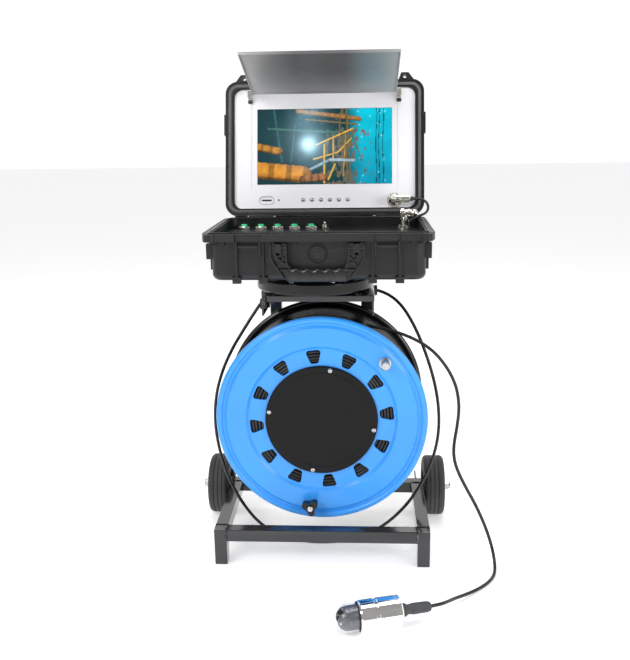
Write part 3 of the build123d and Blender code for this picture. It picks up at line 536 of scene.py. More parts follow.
def wound_cable():
    """Turns of cable on the drum: full windings outside, and the front turns that the windows show."""
    rng = random.Random(7)
    bm = bmesh.new()
    r = CABLE / 2
    pitch = 5.4 * MM
    per_turn = 72
    layer_gap = 4.7 * MM
    width = PACK_BACK - PACK_FRONT - 2 * r
    turns = width / pitch
    for layer, radius in enumerate((PACK_R - r, PACK_R - r - layer_gap)):
        count = int(turns * per_turn)
        points = []
        for i in range(count + 1):
            a = 2 * math.pi * i / per_turn
            y = width * i / count if layer == 0 else width * (1 - i / count)
            wobble = 0.45 * MM * math.sin(a * 0.37 + layer) + 0.25 * MM * math.sin(a * 2.3)
            out = radius - abs(wobble)
            points.append((out * math.cos(a), PACK_FRONT + r + y + wobble * 0.3, out * math.sin(a)))
        add_tube(bm, points, r, 8)
    for column in (0, 1):
        radius = DRUM_R + r + 0.3 * MM + column * 2.4 * MM
        while radius < PACK_R - 2 * r - layer_gap:
            y = PACK_FRONT + r + column * 4.6 * MM + rng.uniform(0, 0.4) * MM
            tilt = rng.uniform(0, 2 * math.pi)
            ring = []
            for a in angles(per_turn):
                out = radius + 0.5 * MM * math.sin(a + tilt)
                ring.append((out * math.cos(a), y + 0.3 * MM * math.sin(a - tilt), out * math.sin(a)))
            add_tube(bm, ring, r, 8, closed=True)
            radius += 5.1 * MM
    at = Matrix.Translation(Vector((REEL_CENTRE.x, 0, REEL_CENTRE.z)))
    piece("wound_turns", bm, at, "reel", "cable", ["wound_cable"], sharp=60)
    core = bmesh.new()
    low, high = PACK_FRONT + 8 * MM, PACK_BACK - 4 * MM
    outside = PACK_R - 10 * MM
    add_lathe(core, [(DRUM_R, -high), (outside, -high), (outside, -low), (DRUM_R, -low)], 64)
    axis = placed((REEL_CENTRE.x, 0, REEL_CENTRE.z), X_AXIS, (0, -1, 0))
    piece("wound_core", core, axis, "reel", "cable")


def screw(bm, x, y, face, radius, height):
    """A button-head screw with a round socket, standing on a face."""
    outside = [(0, -1), (1, -1), (1, 0.35), (0.86, 0.8), (0.55, 1), (0.48, 1)]
    socket = [(0.46, 0.3), (0, 0.3)]
    add_lathe(bm, [(radius * r, face + height * z) for r, z in outside + socket], 36, (x, y))


REEL_FACE = 14 * MM                  # the front flange's face, from the reel's joint
COVER_FACE = REEL_FACE + 5 * MM
COVER_SCREWS_R = 81 * MM
COVER_RING_R = 75 * MM


def reel_details():
    """The round cover's four screws, and the ring pressed in its face."""
    bm = bmesh.new()
    for i in range(4):
        place = polar(COVER_SCREWS_R, math.radians(80 + 90 * i))
        screw(bm, *place, COVER_FACE, 3.6 * MM, 2.0 * MM)
    piece("cover_screws", bm, REEL, "reel", "steel", ["hub_screws"])
    bm = bmesh.new()
    add_band(bm, ring_path(COVER_RING_R, 96), ridge(2.4 * MM, 0.5 * MM, COVER_FACE - 0.1 * MM))
    piece("cover_ring", bm, REEL, "reel", "leatherette")


def lock_knob():
    """Three-lobed knob with a metal nut on its stem."""
    middle = Vector(JOINTS["knob_turn"]["pos_m"]) - REEL_CENTRE
    low, high = REEL_FACE + 12.6 * MM, REEL_FACE + 26.3 * MM
    centre = (middle.x, middle.z)
    outline = []
    for a in angles(72):
        r = 10.4 * MM + 3.2 * MM * math.cos(3 * (a - math.radians(40)))
        outline.append(polar(r, a, centre))
    bm = bmesh.new()
    add_prism(bm, outline, low, high - 1.5 * MM, 1.6 * MM)
    add_lathe(bm, lifted(high, (6.4, -3), (6.2, -0.5), (5.6, 0), (4.6, 0), (4.4, -2)), 36, centre)
    piece("knob_grip", bm, REEL, "knob", "satin", ["lock_knob"], sharp=50)
    bm = bmesh.new()
    add_lathe(bm, lifted(high, (4.2, -2), (4.2, 1.4), (3.6, 1.9), (1.6, 1.9), (1.5, 0.5)), 32, centre)
    piece("knob_nut", bm, REEL, "knob", "steel")


# ---------------------------------------------------------------- cart

TUBE = 19 * MM
RAIL_TOP = 58 * MM
RAIL_SIDE = 165 * MM                  # outside of the side rails
FRONT_BAR = -60 * MM                  # its front face
CROSSBAR_Y = JOINTS["wheel_left_spin"]["pos_m"][1]
POSTS_X = (-80 * MM, 70 * MM)
WHEEL_OUTSIDE = (184 + 17.5) * MM
DISC_SCREWS_R = 78 * MM
BRACKET_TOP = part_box("top_bracket")[1].z


def add_bead(bm, start, end, rng):
    """A row of overlapping weld ripples."""
    start, end = Vector(start), Vector(end)
    count = max(3, int((end - start).length / (1.6 * MM)))
    points = [start.lerp(end, i / count) for i in range(count + 1)]
    ahead = (end - start).normalized()
    side = ahead.orthogonal().normalized()
    other = ahead.cross(side)
    rings = []
    for i, p in enumerate(points):
        for shift, size in ((0.0, 1.0), (0.5, 0.78)):
            if i == count and shift:
                break
            here = p.lerp(points[min(i + 1, count)], shift)
            r = (1.7 + rng.uniform(-0.2, 0.2)) * size * MM
            rings.append([here + r * (math.cos(a) * side + math.sin(a) * other)
                          for a in angles(8)])
    add_capped_rings(bm, rings)


def weld_beads():
    """Weld seams where the base frame's tubes and the posts meet."""
    rng = random.Random(11)
    bm = bmesh.new()
    inner = RAIL_SIDE - TUBE
    low = RAIL_TOP - TUBE
    back = FRONT_BAR + TUBE
    cross = CROSSBAR_Y - TUBE / 2
    for s in (-1, 1):
        x = s * inner
        add_bead(bm, (x, FRONT_BAR + MM, RAIL_TOP), (x, back - MM, RAIL_TOP), rng)
        add_bead(bm, (x, FRONT_BAR, low + MM), (x, FRONT_BAR, RAIL_TOP - MM), rng)
        for y, z in ((back, RAIL_TOP), (back, low), (cross, RAIL_TOP)):
            add_bead(bm, (x + s * MM, y, z), (s * (RAIL_SIDE - MM), y, z), rng)
        add_bead(bm, (x, cross, low + MM), (x, cross, RAIL_TOP - MM), rng)
    for x in POSTS_X:
        for dy in (0, TUBE):
            add_bead(bm, (x - TUBE / 2, cross + dy, RAIL_TOP), (x + TUBE / 2, cross + dy, RAIL_TOP), rng)
        for side in (-1, 1):
            edge = x + side * TUBE / 2
            add_bead(bm, (edge, cross, RAIL_TOP), (edge, cross + TUBE, RAIL_TOP), rng)
    piece("weld_beads", bm, FRAME, "cart", "enamel")


def tube_caps():
    """Plastic plugs in the ends of the rear crossbar."""
    bm = bmesh.new()
    y, z, half = CROSSBAR_Y, RAIL_TOP - TUBE / 2, TUBE / 2 - 0.4 * MM
    for s in (-1, 1):
        x0, x1 = sorted((s * (RAIL_SIDE - 3 * MM), s * (RAIL_SIDE + 1.4 * MM)))
        add_box(bm, (x0, y - half, z - half), (x1, y + half, z + half), 0.8 * MM)
    piece("tube_caps", bm, FRAME, "cart", "nylon")


def add_hex(bm, x, y, low, high, radius, bevel=0.5 * MM):
    """A hexagonal nut or bolt head."""
    add_prism(bm, [polar(radius, a, (x, y)) for a in angles(6)], low, high, bevel)


def cart_fasteners():
    """Bolts that hold the bracket to the posts, and the nut and washer on the spindle's end."""
    bm = bmesh.new()
    for x in POSTS_X:
        add_lathe(bm, lifted(BRACKET_TOP, (0, 0), (6.2, 0), (6.2, 1), (0, 1)), 32, (x, CROSSBAR_Y))
        add_hex(bm, x, CROSSBAR_Y, BRACKET_TOP + 1.0 * MM, BRACKET_TOP + 4.6 * MM, 5.2 * MM)
    piece("bracket_bolts", bm, FRAME, "cart", "steel")
    bm = bmesh.new()
    back = placed((REEL_CENTRE.x, CROSSBAR_Y + 2.5 * MM, REEL_CENTRE.z), X_AXIS, (0, 1, 0))
    add_lathe(bm, lifted(0, (10.1, 0), (17, 0), (17, 1.6), (10.1, 1.6)), 48)
    add_hex(bm, 0, 0, 1.6 * MM, 8.5 * MM, 15 * MM, 1.0 * MM)
    piece("spindle_nut", bm, back, "cart", "steel")


def axle_washers():
    """A washer outside each wheel."""
    bm = bmesh.new()
    for s in (-1, 1):
        face = s * WHEEL_OUTSIDE
        a, b = sorted((face, face + s * 1.4 * MM))
        add_lathe(bm, [(5.1 * MM, a), (10.5 * MM, a), (10.5 * MM, b), (5.1 * MM, b)], 36)
    centre = JOINTS["wheel_left_spin"]["pos_m"]
    piece("axle_washers", bm, placed((0, centre[1], centre[2]), (0, 1, 0), X_AXIS), "cart", "steel")


def disc_screws():
    """Eight screws round the turntable disc."""
    bm = bmesh.new()
    middle = Vector(JOINTS["case_swivel"]["pos_m"])
    for i in range(8):
        place = polar(DISC_SCREWS_R, math.radians(22.5 + 45 * i), middle)
        screw(bm, *place, middle.z, 3.4 * MM, 2.0 * MM)
    piece("disc_screws", bm, FRAME, "case", "steel")


# ---------------------------------------------------------------- case

def base_rims():
    """Two raised lips round the tray's mouth, and a bead round its panel."""
    bm = bmesh.new()
    middle = (0, CASE_Y)
    add_case_ridge(bm, 3 * MM, 18.5 * MM, middle, ridge(1.6 * MM, 0.9 * MM, CASE_RIM - 0.2 * MM))
    add_case_ridge(bm, 18 * MM, 13 * MM, middle, ridge(2.6 * MM, 2.2 * MM, CASE_RIM - 0.2 * MM))
    piece("base_rim_lips", bm, FRAME, "case", "case_gloss")
    bm = bmesh.new()
    add_case_ridge(bm, 27 * MM, 10 * MM, middle, ridge(1.4 * MM, 1.2 * MM, PANEL_TOP - 0.1 * MM))
    piece("panel_bead", bm, FRAME, "case", "panel")


FRONT = placed((0, CASE_FRONT, 0), X_AXIS, (0, -1, 0))
LATCH_X = 97 * MM
GUSSETS_X = (-146, -131, -62, -31, 31, 62, 131, 146)      # millimetres
VALVE = placed((0, CASE_FRONT + 11.5 * MM, 484.3 * MM), X_AXIS, (0, -1, 0))


def latch_seats():
    """The bar and cheeks in the base that each latch closes over, and small gussets under the rim."""
    bm = bmesh.new()
    for s in (-1, 1):
        x = s * LATCH_X
        add_box(bm, (x - 14 * MM, 493 * MM, -4.6 * MM), (x + 14 * MM, 496.5 * MM, -1.2 * MM), 0.7 * MM)
        for side in (-1, 1):
            edge = x + side * 16.4 * MM
            low, high = (edge - 1.2 * MM, 482 * MM, -4.6 * MM), (edge + 1.2 * MM, 502 * MM, -1.8 * MM)
            add_box(bm, low, high, 0.5 * MM)
    for x in GUSSETS_X:
        add_box(bm, ((x - 0.9) * MM, 497 * MM, -11.8 * MM), ((x + 0.9) * MM, 502.6 * MM, -3 * MM), 0.3 * MM)
    piece("latch_seats", bm, FRONT, "case", "case")


def valve_rings():
    """Rings and a screwdriver bar on the purge valve's face."""
    bm = bmesh.new()
    for r, w, h in ((13.4, 1.6, 1.6), (9.9, 1.2, 3.9), (5.2, 1.0, 2.4)):
        add_band(bm, ring_path(r * MM, 64), ridge(w * MM, h * MM, -0.2 * MM))
    add_box(bm, (-2.6 * MM, -0.5 * MM, 4.3 * MM), (2.6 * MM, 0.5 * MM, 4.9 * MM), 0.2 * MM)
    piece("valve_rings", bm, VALVE, "case", "case_gloss")


# half of the handle seen from the front, in millimetres from its pivots: the outline of an arm, and its ribs
ARM = [(42, 6.5), (50.6, 6.5), (50.6, -9.5), (58.2, -9.5), (58.2, 6.5), (66, 6.5), (66, -12), (63, -19),
       (48, -42), (42, -47), (33, -47.5), (33, -30), (39, -26), (42, -19)]
ARM_RIBS = [((43.2, 5.5), (43.2, -19)), ((64.8, 5.5), (64.8, -12)), ((64.8, -12), (61.8, -19)),
            ((61.8, -19), (46.5, -42)), ((43.2, -19), (40, -26)), ((51, -10.5), (58, -10.5)),
            ((51, 5.5), (51, -10)), ((58, 5.5), (58, -10)), ((45, -22), (57, -12)), ((46, -12), (55, -26)),
            ((42, -30), (52, -30))]
GRIP_HALF = 40 * MM
GRIP_LOW = -47.3 * MM
FINGER = 15.2 * MM                    # from one finger ridge to the next
GRIP_STEPS, GRIP_SIDES = 96, 28
GRIP_SQUARENESS = 0.62                # 1 would make the grip's section an ellipse


def carry_handle():
    """Forked arms with webbed pockets, sweeping in to a grip with finger ridges."""
    bm = bmesh.new()
    for s in (-1, 1):
        arm = [(s * x * MM, y * MM) for x, y in ARM]
        add_prism(bm, arm if s > 0 else arm[::-1], -5 * MM, -1.0 * MM, 0.6 * MM)
        for a, b in ARM_RIBS:
            line = [(s * a[0] * MM, a[1] * MM), (s * b[0] * MM, b[1] * MM)]
            add_rib(bm, line, 1.0 * MM, -1.4 * MM, 6 * MM)
        add_tube(bm, [(s * 42.5 * MM, 0, 0), (s * 65.5 * MM, 0, 0)], 2.5 * MM, 20)
    places = [-GRIP_HALF + 2 * GRIP_HALF * i / GRIP_STEPS for i in range(GRIP_STEPS + 1)]
    add_capped_rings(bm, [grip_ring(x) for x in places])
    piece("handle_moulding", bm, HANDLE, "handle", "case_gloss", ["carry_handle"], sharp=42)


def grip_ring(x):
    """The grip's section at x: a rounded box that swells at each finger ridge."""
    swell = math.cos(x / FINGER * 2 * math.pi)
    top = (-29.0 + 1.1 * swell + 2.2 * (x / GRIP_HALF) ** 4) * MM
    deep = (6.6 + 0.5 * swell) * MM
    middle, half = (top + GRIP_LOW) / 2, (top - GRIP_LOW) / 2
    ring = []
    for a in angles(GRIP_SIDES):
        c, d = math.cos(a), math.sin(a)
        ring.append((x, middle + half * math.copysign(abs(d) ** GRIP_SQUARENESS, d),
                     deep * math.copysign(abs(c) ** GRIP_SQUARENESS, c)))
    return ring


def add_rib(bm, line, half_width, low, high):
    """A straight raised rib between two points of a flat face."""
    a, b = (Vector(p) for p in line)
    across = Vector((-(b - a).y, (b - a).x)).normalized() * half_width
    add_prism(bm, [tuple(a + across), tuple(a - across), tuple(b - across), tuple(b + across)], low, high,
              half_width * 0.35)


def push_buttons():
    """Green domed caps, each with a knurled metal collar round it."""
    collars = bmesh.new()
    for i in range(5):
        low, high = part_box(f"push_button_{i + 1}")
        x, y, top = (low.x + high.x) / 2, (low.y + high.y) / 2, high.z
        bm = bmesh.new()
        dome = lifted(top, (5.2, -2.2), (4.9, -1.1), (4.2, -0.5), (2.4, -0.08), (0, 0))
        add_lathe(bm, [(0, low.z), (5.2 * MM, low.z)] + dome, 40, (x, y))
        piece(f"button_cap_{i + 1}", bm, FRAME, f"button_{i + 1}", "green",
              [f"push_button_{i + 1}"])
        profile = lifted(PANEL_TOP, (5.7, 4.4), (8.0, 4.9), (9.2, 3.9, 1), (9.2, 1.05, 1), (8.3, 0.05))
        add_lathe(collars, profile, 96, (x, y), lambda a: 0.28 * MM * math.cos(32 * a))
    piece("collar_rings", collars, FRAME, "case", "nickel")


def knurl(count, depth):
    """Square waves round a part, for add_lathe."""
    return lambda a: depth * (1 if math.cos(count * a) > 0 else -1) * 0.5


def tee_details():
    """Knurled nut, rings and collar of the coaxial tee, and the jumper's lower boot."""
    x, y, z = 129.5 * MM, 116 * MM, PANEL_TOP
    bm = bmesh.new()
    nut = lifted(z, (4.7, 1.6), (9.4, 1.6, 1), (9.4, 5.6, 1), (7.6, 6.6), (4.7, 6.6))
    add_lathe(bm, nut, 120, (x, y), knurl(30, 0.5 * MM))
    add_lathe(bm, lifted(z, (4.7, 14.4), (6.4, 14.8), (6.4, 16.2), (5.4, 17), (6.6, 18), (6.6, 19.4),
                         (4.7, 19.8)), 48, (x, y))
    piece("tee_nut", bm, FRAME, "case", "nickel")
    bm = bmesh.new()
    add_lathe(bm, lifted(0, (5.2, -6.6), (6.7, -6.2, 1), (6.7, -0.8, 1), (5.3, 0.2), (5.3, 5), (6.2, 5.4),
                         (6.2, 8.6), (5.2, 9)), 96, wave=knurl(24, 0.4 * MM))
    piece("tee_collar", bm, placed((x, y, z + 25 * MM), (0, 1, 0), X_AXIS), "case", "nickel")
    before, end = (Vector(p) for p in JUMPER_ROUTE[-2:])
    boot("jumper_boot_low", end, before - end, "case", 9.5 * MM)


def boot(name, start, along, body, length):
    """A short tapered strain relief with rings."""
    along = Vector(along).normalized()
    bm = bmesh.new()
    radius, sunk = 3.9 * MM, 2 * MM
    profile = [(0, 0), (radius, 0), (radius, length * 0.25)]
    for i in range(4):
        z = length * (0.3 + 0.16 * i)
        r = (3.7 - 0.35 * i) * MM
        profile += [(r, z), (r - 0.6 * MM, z + length * 0.04), (r - 0.6 * MM, z + length * 0.1)]
    profile += [(2.5 * MM, length), (JUMPER / 2, length)]
    add_lathe(bm, profile, 28)
    piece(name, bm, placed(start - along * sunk, along.orthogonal(), along), body, "nylon")


# ---------------------------------------------------------------- lid

SCREEN_W, SCREEN_H, SCREEN_UP = 222.7 * MM, 125.3 * MM, 116.6 * MM


def lid_rims():
    """Seal, lips and webs round the lid's open face, and a bar with pads along its hinge."""
    middle = (0, LID_MIDDLE)
    sunk = -0.3 * MM
    bm = bmesh.new()
    add_case_ridge(bm, 15 * MM, 14 * MM, middle, ridge(4.6 * MM, 1.2 * MM, sunk))
    piece("lid_seal", bm, LID, "lid", "seal")
    bm = bmesh.new()
    add_case_ridge(bm, 3.2 * MM, 18.5 * MM, middle, ridge(1.8 * MM, 1.3 * MM, sunk))
    add_band(bm, rounded_outline(CASE_W - 25 * MM, CASE_D - 22.5 * MM, 13 * MM, (0, LID_MIDDLE - 0.5 * MM)),
             ridge(2.0 * MM, 1.5 * MM, sunk))
    piece("lid_rim_lips", bm, LID, "lid", "case_gloss")
    bm = bmesh.new()
    for s in (-1, 1):
        for i in range(7):
            y, x = (30 + 27 * i) * MM, s * 160 * MM
            add_box(bm, (x - 2.6 * MM, y - 0.6 * MM, sunk), (x + 2.6 * MM, y + 0.6 * MM, 0.8 * MM))
    add_box(bm, (-150 * MM, -3.2 * MM, -15 * MM), (150 * MM, 2.6 * MM, -10.5 * MM), 0.8 * MM)
    for i in range(9):
        x = (-120 + 30 * i) * MM
        add_box(bm, (x - 7 * MM, -2.4 * MM, -10.6 * MM), (x + 7 * MM, 1.6 * MM, -9.6 * MM), 0.4 * MM)
    piece("lid_rim_webs", bm, LID, "lid", "case_gloss")


def panel_edge():
    """The white panel's folded edge."""
    bm = bmesh.new()
    add_band(bm, rounded_outline(296.5 * MM, 196 * MM, 13 * MM, (0, 112.5 * MM)),
             ridge(1.6 * MM, 0.9 * MM, PANEL_FACE - 0.1 * MM))
    piece("panel_edge", bm, LID, "lid", "white")


def noise_value(x, y, seed):
    """A repeatable number from 0 to 1 for a cell."""
    v = math.sin(x * 127.1 + y * 311.7 + seed * 74.7) * 43758.5453
    return v - math.floor(v)


def cloud(x, y, seed):
    """Smooth noise over the picture."""
    total, weight, size = 0.0, 0.0, 1.0
    for octave in range(4):
        cx, cy = math.floor(x * size), math.floor(y * size)
        fx, fy = x * size - cx, y * size - cy
        fx, fy = fx * fx * (3 - 2 * fx), fy * fy * (3 - 2 * fy)
        row = [noise_value(cx + i, cy + j, seed + octave) for j in (0, 1) for i in (0, 1)]
        total += (row[0] * (1 - fx) * (1 - fy) + row[1] * fx * (1 - fy) + row[2] * (1 - fx) * fy
                  + row[3] * fx * fy) / size
        weight += 1 / size
        size *= 2
    return total / weight


def blend_colour(a, b, t):
    """From colour a to colour b as t goes from 0 to 1."""
    t = max(0.0, min(1.0, t))
    return [p * (1 - t) + q * t for p, q in zip(a, b)]


# tubes of the pictured pipe rack: ends, half thickness and colour, far ones first
RACK = [
    ((0.3, 0.97), (0.76, 0.86), 0.03, (0.34, 0.16, 0.04)),
    ((0.36, 0.86), (0.74, 0.79), 0.012, (0.2, 0.13, 0.05)),
    ((0.12, 0.99), (0.18, 0.3), 0.02, (0.02, 0.1, 0.11)),
    ((0.28, 0.8), (0.25, 0.3), 0.012, (0.03, 0.11, 0.12)),
    ((0.08, 0.74), (0.6, 0.68), 0.018, (0.04, 0.13, 0.12)),
    ((0.62, 0.95), (0.6, 0.5), 0.01, (0.18, 0.12, 0.06)),
    ((0.66, 0.98), (0.69, 0.1), 0.014, (0.14, 0.12, 0.06)),
    ((0.7, 0.7), (0.78, 0.3), 0.008, (0.1, 0.16, 0.1)),
    ((0.44, 0.52), (0.71, 0.73), 0.011, (0.78, 0.42, 0.05)),
    ((0.42, 0.33), (0.6, 0.42), 0.01, (0.72, 0.4, 0.05)),
    ((0.6, 0.42), (0.7, 0.6), 0.01, (0.72, 0.42, 0.06)),
    ((0.5, 0.02), (0.5, 0.52), 0.013, (0.75, 0.42, 0.04)),
    ((0.565, 0.3), (0.565, 0.6), 0.011, (0.66, 0.36, 0.04)),
    ((0.64, 0.1), (0.66, 0.66), 0.008, (0.42, 0.26, 0.05)),
    ((-0.05, 0.2), (0.34, 0.13), 0.11, (0.62, 0.26, 0.03)),
    ((-0.05, 0.52), (0.16, 0.44), 0.05, (0.5, 0.22, 0.03)),
    ((0.34, 0.07), (0.5, 0.09), 0.05, (0.36, 0.15, 0.05)),
    ((0.4, 0.2), (0.54, 0.32), 0.02, (0.26, 0.38, 0.44)),
    ((0.54, 0.32), (0.72, 0.31), 0.022, (0.32, 0.44, 0.5)),
    ((0.53, 0.06), (0.58, 0.26), 0.012, (0.62, 0.42, 0.05)),
]


PICTURE_ASPECT = 1.78


def tube_light(u, v, ends, half):
    """How a pictured tube lights a spot: its brightness, and how far along the tube; None beside it."""
    (u0, v0), (u1, v1) = ends
    across, up = (u1 - u0) * PICTURE_ASPECT, v1 - v0
    from_u, from_v = (u - u0) * PICTURE_ASPECT, v - v0
    t = max(0.0, min(1.0, (from_u * across + from_v * up) / (across ** 2 + up ** 2)))
    off_u, off_v = from_u - across * t, from_v - up * t
    away = math.hypot(off_u, off_v) / half
    if away >= 1:
        return None
    side = off_v * across - off_u * up
    shifted = away - 0.35 * math.copysign(away, side)
    return 0.25 + 0.95 * math.sqrt(max(0.0, 1 - shifted ** 2)), t


def picture_colour(u, v):
    """A generic drowned pipe rack: blue water to the right, a lamp's glow among orange and yellow tubes."""
    haze = cloud(u * 9, v * 6, 3)
    open_water = (u - 0.66 + 0.05 * (haze - 0.5)) / 0.12
    colour = blend_colour((0.004, 0.045, 0.055), (0.0, 0.33 + 0.25 * v, 0.50 + 0.25 * v), open_water)
    colour = [c * (0.75 + 0.5 * haze) for c in colour]
    clutter = cloud(u * 46, v * 15, 13) - 0.52 - 1.6 * abs(u - 0.64) + 0.16 * (v < 0.72)
    if clutter > 0:
        colour = blend_colour(colour, (0.05 + 0.3 * haze * haze, 0.13, 0.09), clutter * 9)
    for start, end, half, tint in RACK:
        struck = tube_light(u, v, (start, end), half)
        if struck:
            brightness, along = struck
            grime = 0.65 + 0.7 * cloud(u * 38, v * 22, 9)
            band = 0.55 if int(along * 9) % 3 == 0 and half > 0.04 else 1.0
            colour = [c * brightness * grime * band for c in tint]
    far = math.hypot((u - 0.38) * PICTURE_ASPECT, v - 0.53)
    glow = math.exp(-(far / 0.10) ** 2) * 1.3 + math.exp(-(far / 0.28) ** 2) * 0.30 * (0.5 + haze)
    plume = math.exp(-((u - 0.34 - 0.10 * (v - 0.5)) * 9) ** 2) * max(0.0, v - 0.5)
    plume *= 0.3 + 0.9 * cloud(u * 26, v * 16, 5)
    colour = [c + glow * g + plume * p for c, g, p in zip(colour, (0.55, 0.85, 1.0), (0.35, 0.6, 0.75))]
    for line in (0.885, 0.905, 0.935):
        if abs(u - line - 0.004 * math.sin(v * 9)) < 0.0035:
            colour = [c * 0.22 for c in colour]
    if u > 0.70 and noise_value(math.floor(u * 110), math.floor(v * 62), 21) > 0.985:
        colour = [min(1.0, c + 0.25) for c in colour]
    return [min(1.0, c) for c in colour]


def screen_picture():
    """The display's lit face, painted point by point."""
    bm = bmesh.new()
    columns, rows = 190, 107
    edge = 0.4 * MM
    left, low = -SCREEN_W / 2 + edge, SCREEN_UP - SCREEN_H / 2 + edge
    wide, high = SCREEN_W - 2 * edge, SCREEN_H - 2 * edge
    face = PANEL_FACE - 1.75 * MM
    grid = [[bm.verts.new((left + wide * i / columns, low + high * j / rows, face))
             for i in range(columns + 1)] for j in range(rows + 1)]
    for a, b in zip(grid, grid[1:]):
        for i in range(columns):
            bm.faces.new((a[i], a[i + 1], b[i + 1], b[i]))
    made = piece("screen_picture", bm, Matrix.Identity(4), None, "picture")
    paint = made.data.color_attributes.new("paint", "FLOAT_COLOR", "POINT")
    for vertex, spot in zip(made.data.vertices, paint.data):
        spot.color = (*picture_colour((vertex.co.x - left) / wide, (vertex.co.y - low) / high), 1)
    made.data.transform(LID)
    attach(made, "lid")


def panel_keys():
    """Six domed metal keys, the card slot's bar and ring, and the small lamp."""
    for i in range(6):
        bm = bmesh.new()
        profile = lifted(PANEL_FACE, (0, -3), (2.9, -3), (2.9, 0.2), (2.6, 1.2), (1.9, 2.2), (1, 2.8), (0, 3))
        add_lathe(bm, profile, 32, ((-35 + 14.7 * i) * MM, 28 * MM))
        piece(f"key_cap_{i + 1}", bm, LID, f"key_{i + 1}", "steel", [f"panel_key_{i + 1}"])
    bm = bmesh.new()
    x, y, low = -95.5 * MM, 28 * MM, PANEL_FACE - 1.6 * MM
    add_box(bm, (x - 8 * MM, y - 1.3 * MM, low), (x + 8 * MM, y + 1.3 * MM, low + 1.0 * MM), 0.4 * MM)
    add_lathe(bm, lifted(PANEL_FACE, (0, 0), (1.5, 0), (1.3, 0.4), (0, 0.5)), 20, (-75.5 * MM, 28.3 * MM))
    piece("card_slot", bm, LID, "lid", "lens_black")
    bm = bmesh.new()
    add_band(bm, rounded_outline(25 * MM, 13 * MM, 6.45 * MM, (x, y), 12),
             ridge(0.8 * MM, 0.5 * MM, PANEL_FACE - 0.05 * MM))
    piece("card_slot_ring", bm, LID, "lid", "steel")


def lid_fittings():
    """The plug's knurled rings, the jumper's upper boot, and the black tips of the sunshade's clips."""
    bm = bmesh.new()
    x, y = 115 * MM, 26 * MM
    add_lathe(bm, lifted(PANEL_FACE, (8.1, 0.05), (12.2, 0.05), (12.2, 1.2), (8.1, 1.8)), 60, (x, y))
    add_lathe(bm, lifted(PANEL_FACE, (8.0, 6.4), (9.2, 6.6, 1), (9.2, 10.6, 1), (7.4, 11.6)), 120, (x, y),
              knurl(30, 0.4 * MM))
    piece("plug_ring", bm, LID, "lid", "nickel")
    bm = bmesh.new()
    add_lathe(bm, lifted(0, (6.4, 0), (7.6, 0.4, 1), (7.6, 7, 1), (6.6, 7.6), (6.6, 12), (7.1, 12.4),
                         (7.1, 14), (6.4, 14.4)), 96, wave=knurl(28, 0.35 * MM))
    at = LID @ placed((109 * MM, 26 * MM, 12 * MM), (0, 1, 0), X_AXIS)
    piece("plug_collar", bm, at, "lid", "nickel")
    start, after = (Vector(p) for p in JUMPER_ROUTE[:2])
    boot("jumper_boot_top", start, after - start, "lid", 12 * MM)
    bm = bmesh.new()
    for s in (-1, 1):
        a, b = sorted((s * 118.6 * MM, s * 126.4 * MM))
        add_box(bm, (a, 188 * MM, PANEL_FACE), (b, 193.5 * MM, PANEL_FACE + 3.4 * MM), 0.8 * MM)
    piece("clip_tips", bm, LID, "lid", "nylon")


# ---------------------------------------------------------------- camera head

def camera_head():
    """Liner, lens and lamps behind the dome, and the seal at the dome's foot."""
    bm = bmesh.new()
    centre, radius = 19 * MM, 16.4 * MM
    profile = [(radius * math.sin(a), centre - radius * math.cos(a))
               for a in (math.radians(90 * i / 18) for i in range(19))]
    profile += [(radius, z * MM) for z in (22, 26, 30, 36)]
    add_lathe(bm, profile[1:], 72)
    slot = [f for f in bm.faces if abs(f.calc_center_median().y) < 6.6 * MM
            and abs(f.calc_center_median().x) < 14 * MM and f.calc_center_median().z < 16 * MM]
    ends = [f for f in bm.faces if len(f.verts) > 4]
    bmesh.ops.delete(bm, geom=list(set(slot + ends)), context="FACES")
    liner = piece("dome_liner", bm, HEAD, "camera_pan", "liner", sharp=60)
    thick = liner.modifiers.new("wall", "SOLIDIFY")
    thick.thickness = 0.9 * MM
    thick.offset = -1
    bm = bmesh.new()
    tip = 9.0 * MM
    add_lathe(bm, lifted(tip, (4.6, 3), (6.3, 2.4), (6.3, 0.6), (5.4, -0.3), (4.4, -0.3), (4.2, 0.6)), 48)
    piece("lens_bezel", bm, HEAD, "camera_tilt", "steel")
    bm = bmesh.new()
    add_lathe(bm, lifted(tip, (0, -0.9), (1.8, -0.75), (3.2, -0.3), (4.3, 0.5), (4.3, 1.5)), 48)
    piece("lens_glass", bm, HEAD, "camera_tilt", "lens_black")
    bm = bmesh.new()
    for i in range(6):
        away = 10.6 * MM
        x, y = polar(away, math.radians(60 * i + 30))
        if abs(y) < 7 * MM:
            continue
        z = centre - math.sqrt(radius ** 2 - away ** 2)
        add_lathe(bm, lifted(z, (0, -1), (1.3, -0.6), (1.7, 0.4), (1.7, 2), (0, 2)), 20, (x, y))
    piece("head_lamps", bm, HEAD, "camera_pan", "lamp")
    bm = bmesh.new()
    add_band(bm, ring_path(19.3 * MM, 72), ridge(1.4 * MM, -0.9 * MM, 33.1 * MM))
    piece("dome_seal", bm, HEAD, "cart", "boot")


# ---------------------------------------------------------------- stage

FLOOR_HALF = 14.0
SURROUND_FRONT, SURROUND_BACK = 0.36, 1.06    # light from in front of the object, and from behind it
LIGHTS = [                                     # name, place, size, power
    ("key", (-1.3, -1.5, 1.7), 1.1, 26),
    ("fill", (1.6, -1.1, 1.0), 1.0, 14),
    ("top", (0.1, 0.1, 2.0), 1.2, 16),
]
LIGHTS_MEET = Vector((0, 0, 0.38))


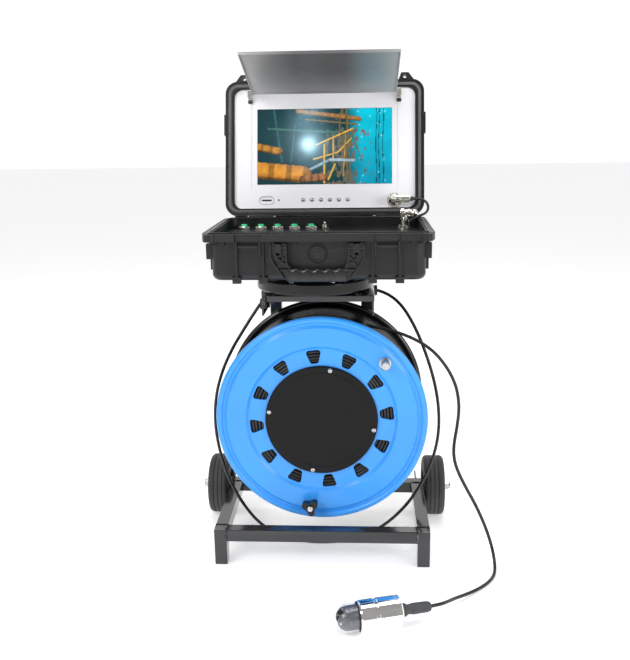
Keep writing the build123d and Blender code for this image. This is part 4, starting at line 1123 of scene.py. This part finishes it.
def make_stage():
    """Pale floor, a surround that is white behind the object and dimmer in front, and soft lights."""
    bm = bmesh.new()
    corners = [(x * FLOOR_HALF, y * FLOOR_HALF, 0) for x, y in ((-1, -1), (1, -1), (1, 1), (-1, 1))]
    bm.faces.new([bm.verts.new(p) for p in corners])
    mesh = bpy.data.meshes.new("floor")
    bm.to_mesh(mesh)
    bm.free()
    tree, shader = nodes_of("floor")
    preset(tree, shader, Base_Color=(0.93, 0.93, 0.93, 1), Roughness=0.75, Specular_IOR_Level=0.1,
           Emission_Color=(1, 1, 1, 1), Emission_Strength=0.4)
    mesh.materials.append(M["floor"])
    floor = new_object("floor", mesh)
    world = bpy.data.worlds.new("surround")
    world.use_nodes = True
    tree = world.node_tree
    glow = between(tree, spot_in_box(tree)["Y"], SURROUND_FRONT, SURROUND_BACK, 0.15, 0.7)
    preset(tree, tree.nodes["Background"], Color=(1, 1, 1, 1), Strength=glow)
    bpy.context.scene.world = world
    bpy.context.scene.view_settings.view_transform = "Standard"
    for name, place, size, power in LIGHTS:
        data = bpy.data.lights.new(name, "AREA")
        data.shape = "SQUARE"
        data.size = size
        data.energy = power
        lamp = new_object(name, data)
        lamp.location = place
        aim = LIGHTS_MEET - Vector(place)
        lamp.rotation_euler = aim.to_track_quat("-Z", "Y").to_euler()


# ---------------------------------------------------------------- run

FINISHES = {
    "enamel": "base_frame rear_posts top_bracket rear_flange reel_drum",
    "satin": "turntable_disc lock_knob",
    "steel": "wheel_axle reel_spindle swivel_bearing reel_bearings hub_screws flange_posts hinge_pins",
    "blue": "front_flange",
    "leatherette": "hub_cover",
    "nylon": "cable_glands",
    "grey_plastic": "slip_ring battery_pack head_drive",
    "tyre": "tyre_left tyre_right",
    "hub": "wheel_hub_left wheel_hub_right",
    "case": "case_base lid_shell",
    "case_gloss": "purge_valve latch_left latch_right",
    "panel": "base_panel",
    "white": "lid_panel",
    "shade": "sunshade",
    "lens_black": "display_module pan_yoke",
    "nickel": "switch_collars toggle_lever bnc_tee lid_plug shade_brackets",
    "board": "control_board",
    "mirror_steel": "camera_shell",
    "dome_clear": "camera_dome",
    "liner": "camera_eye",
    "boot": "strain_relief",
}

make_camera()
make_cords()
for finish_name, names in FINISHES.items():
    for node in names.split():
        dress(node, finish_name)
soften(0.9 * MM, "base_frame", "rear_posts", "top_bracket")
soften(0.7 * MM, "case_base", "lid_shell", "latch_left", "latch_right")
soften(0.35 * MM, "lid_panel", "base_panel", "purge_valve", "shade_brackets", "flange_posts", "wheel_axle",
       "switch_collars", "bnc_tee", "lid_plug", "cable_glands")
wound_cable()
reel_details()
lock_knob()
weld_beads()
tube_caps()
cart_fasteners()
axle_washers()
disc_screws()
base_rims()
latch_seats()
valve_rings()
carry_handle()
push_buttons()
tee_details()
lid_rims()
panel_edge()
screen_picture()
panel_keys()
lid_fittings()
camera_head()
make_stage()
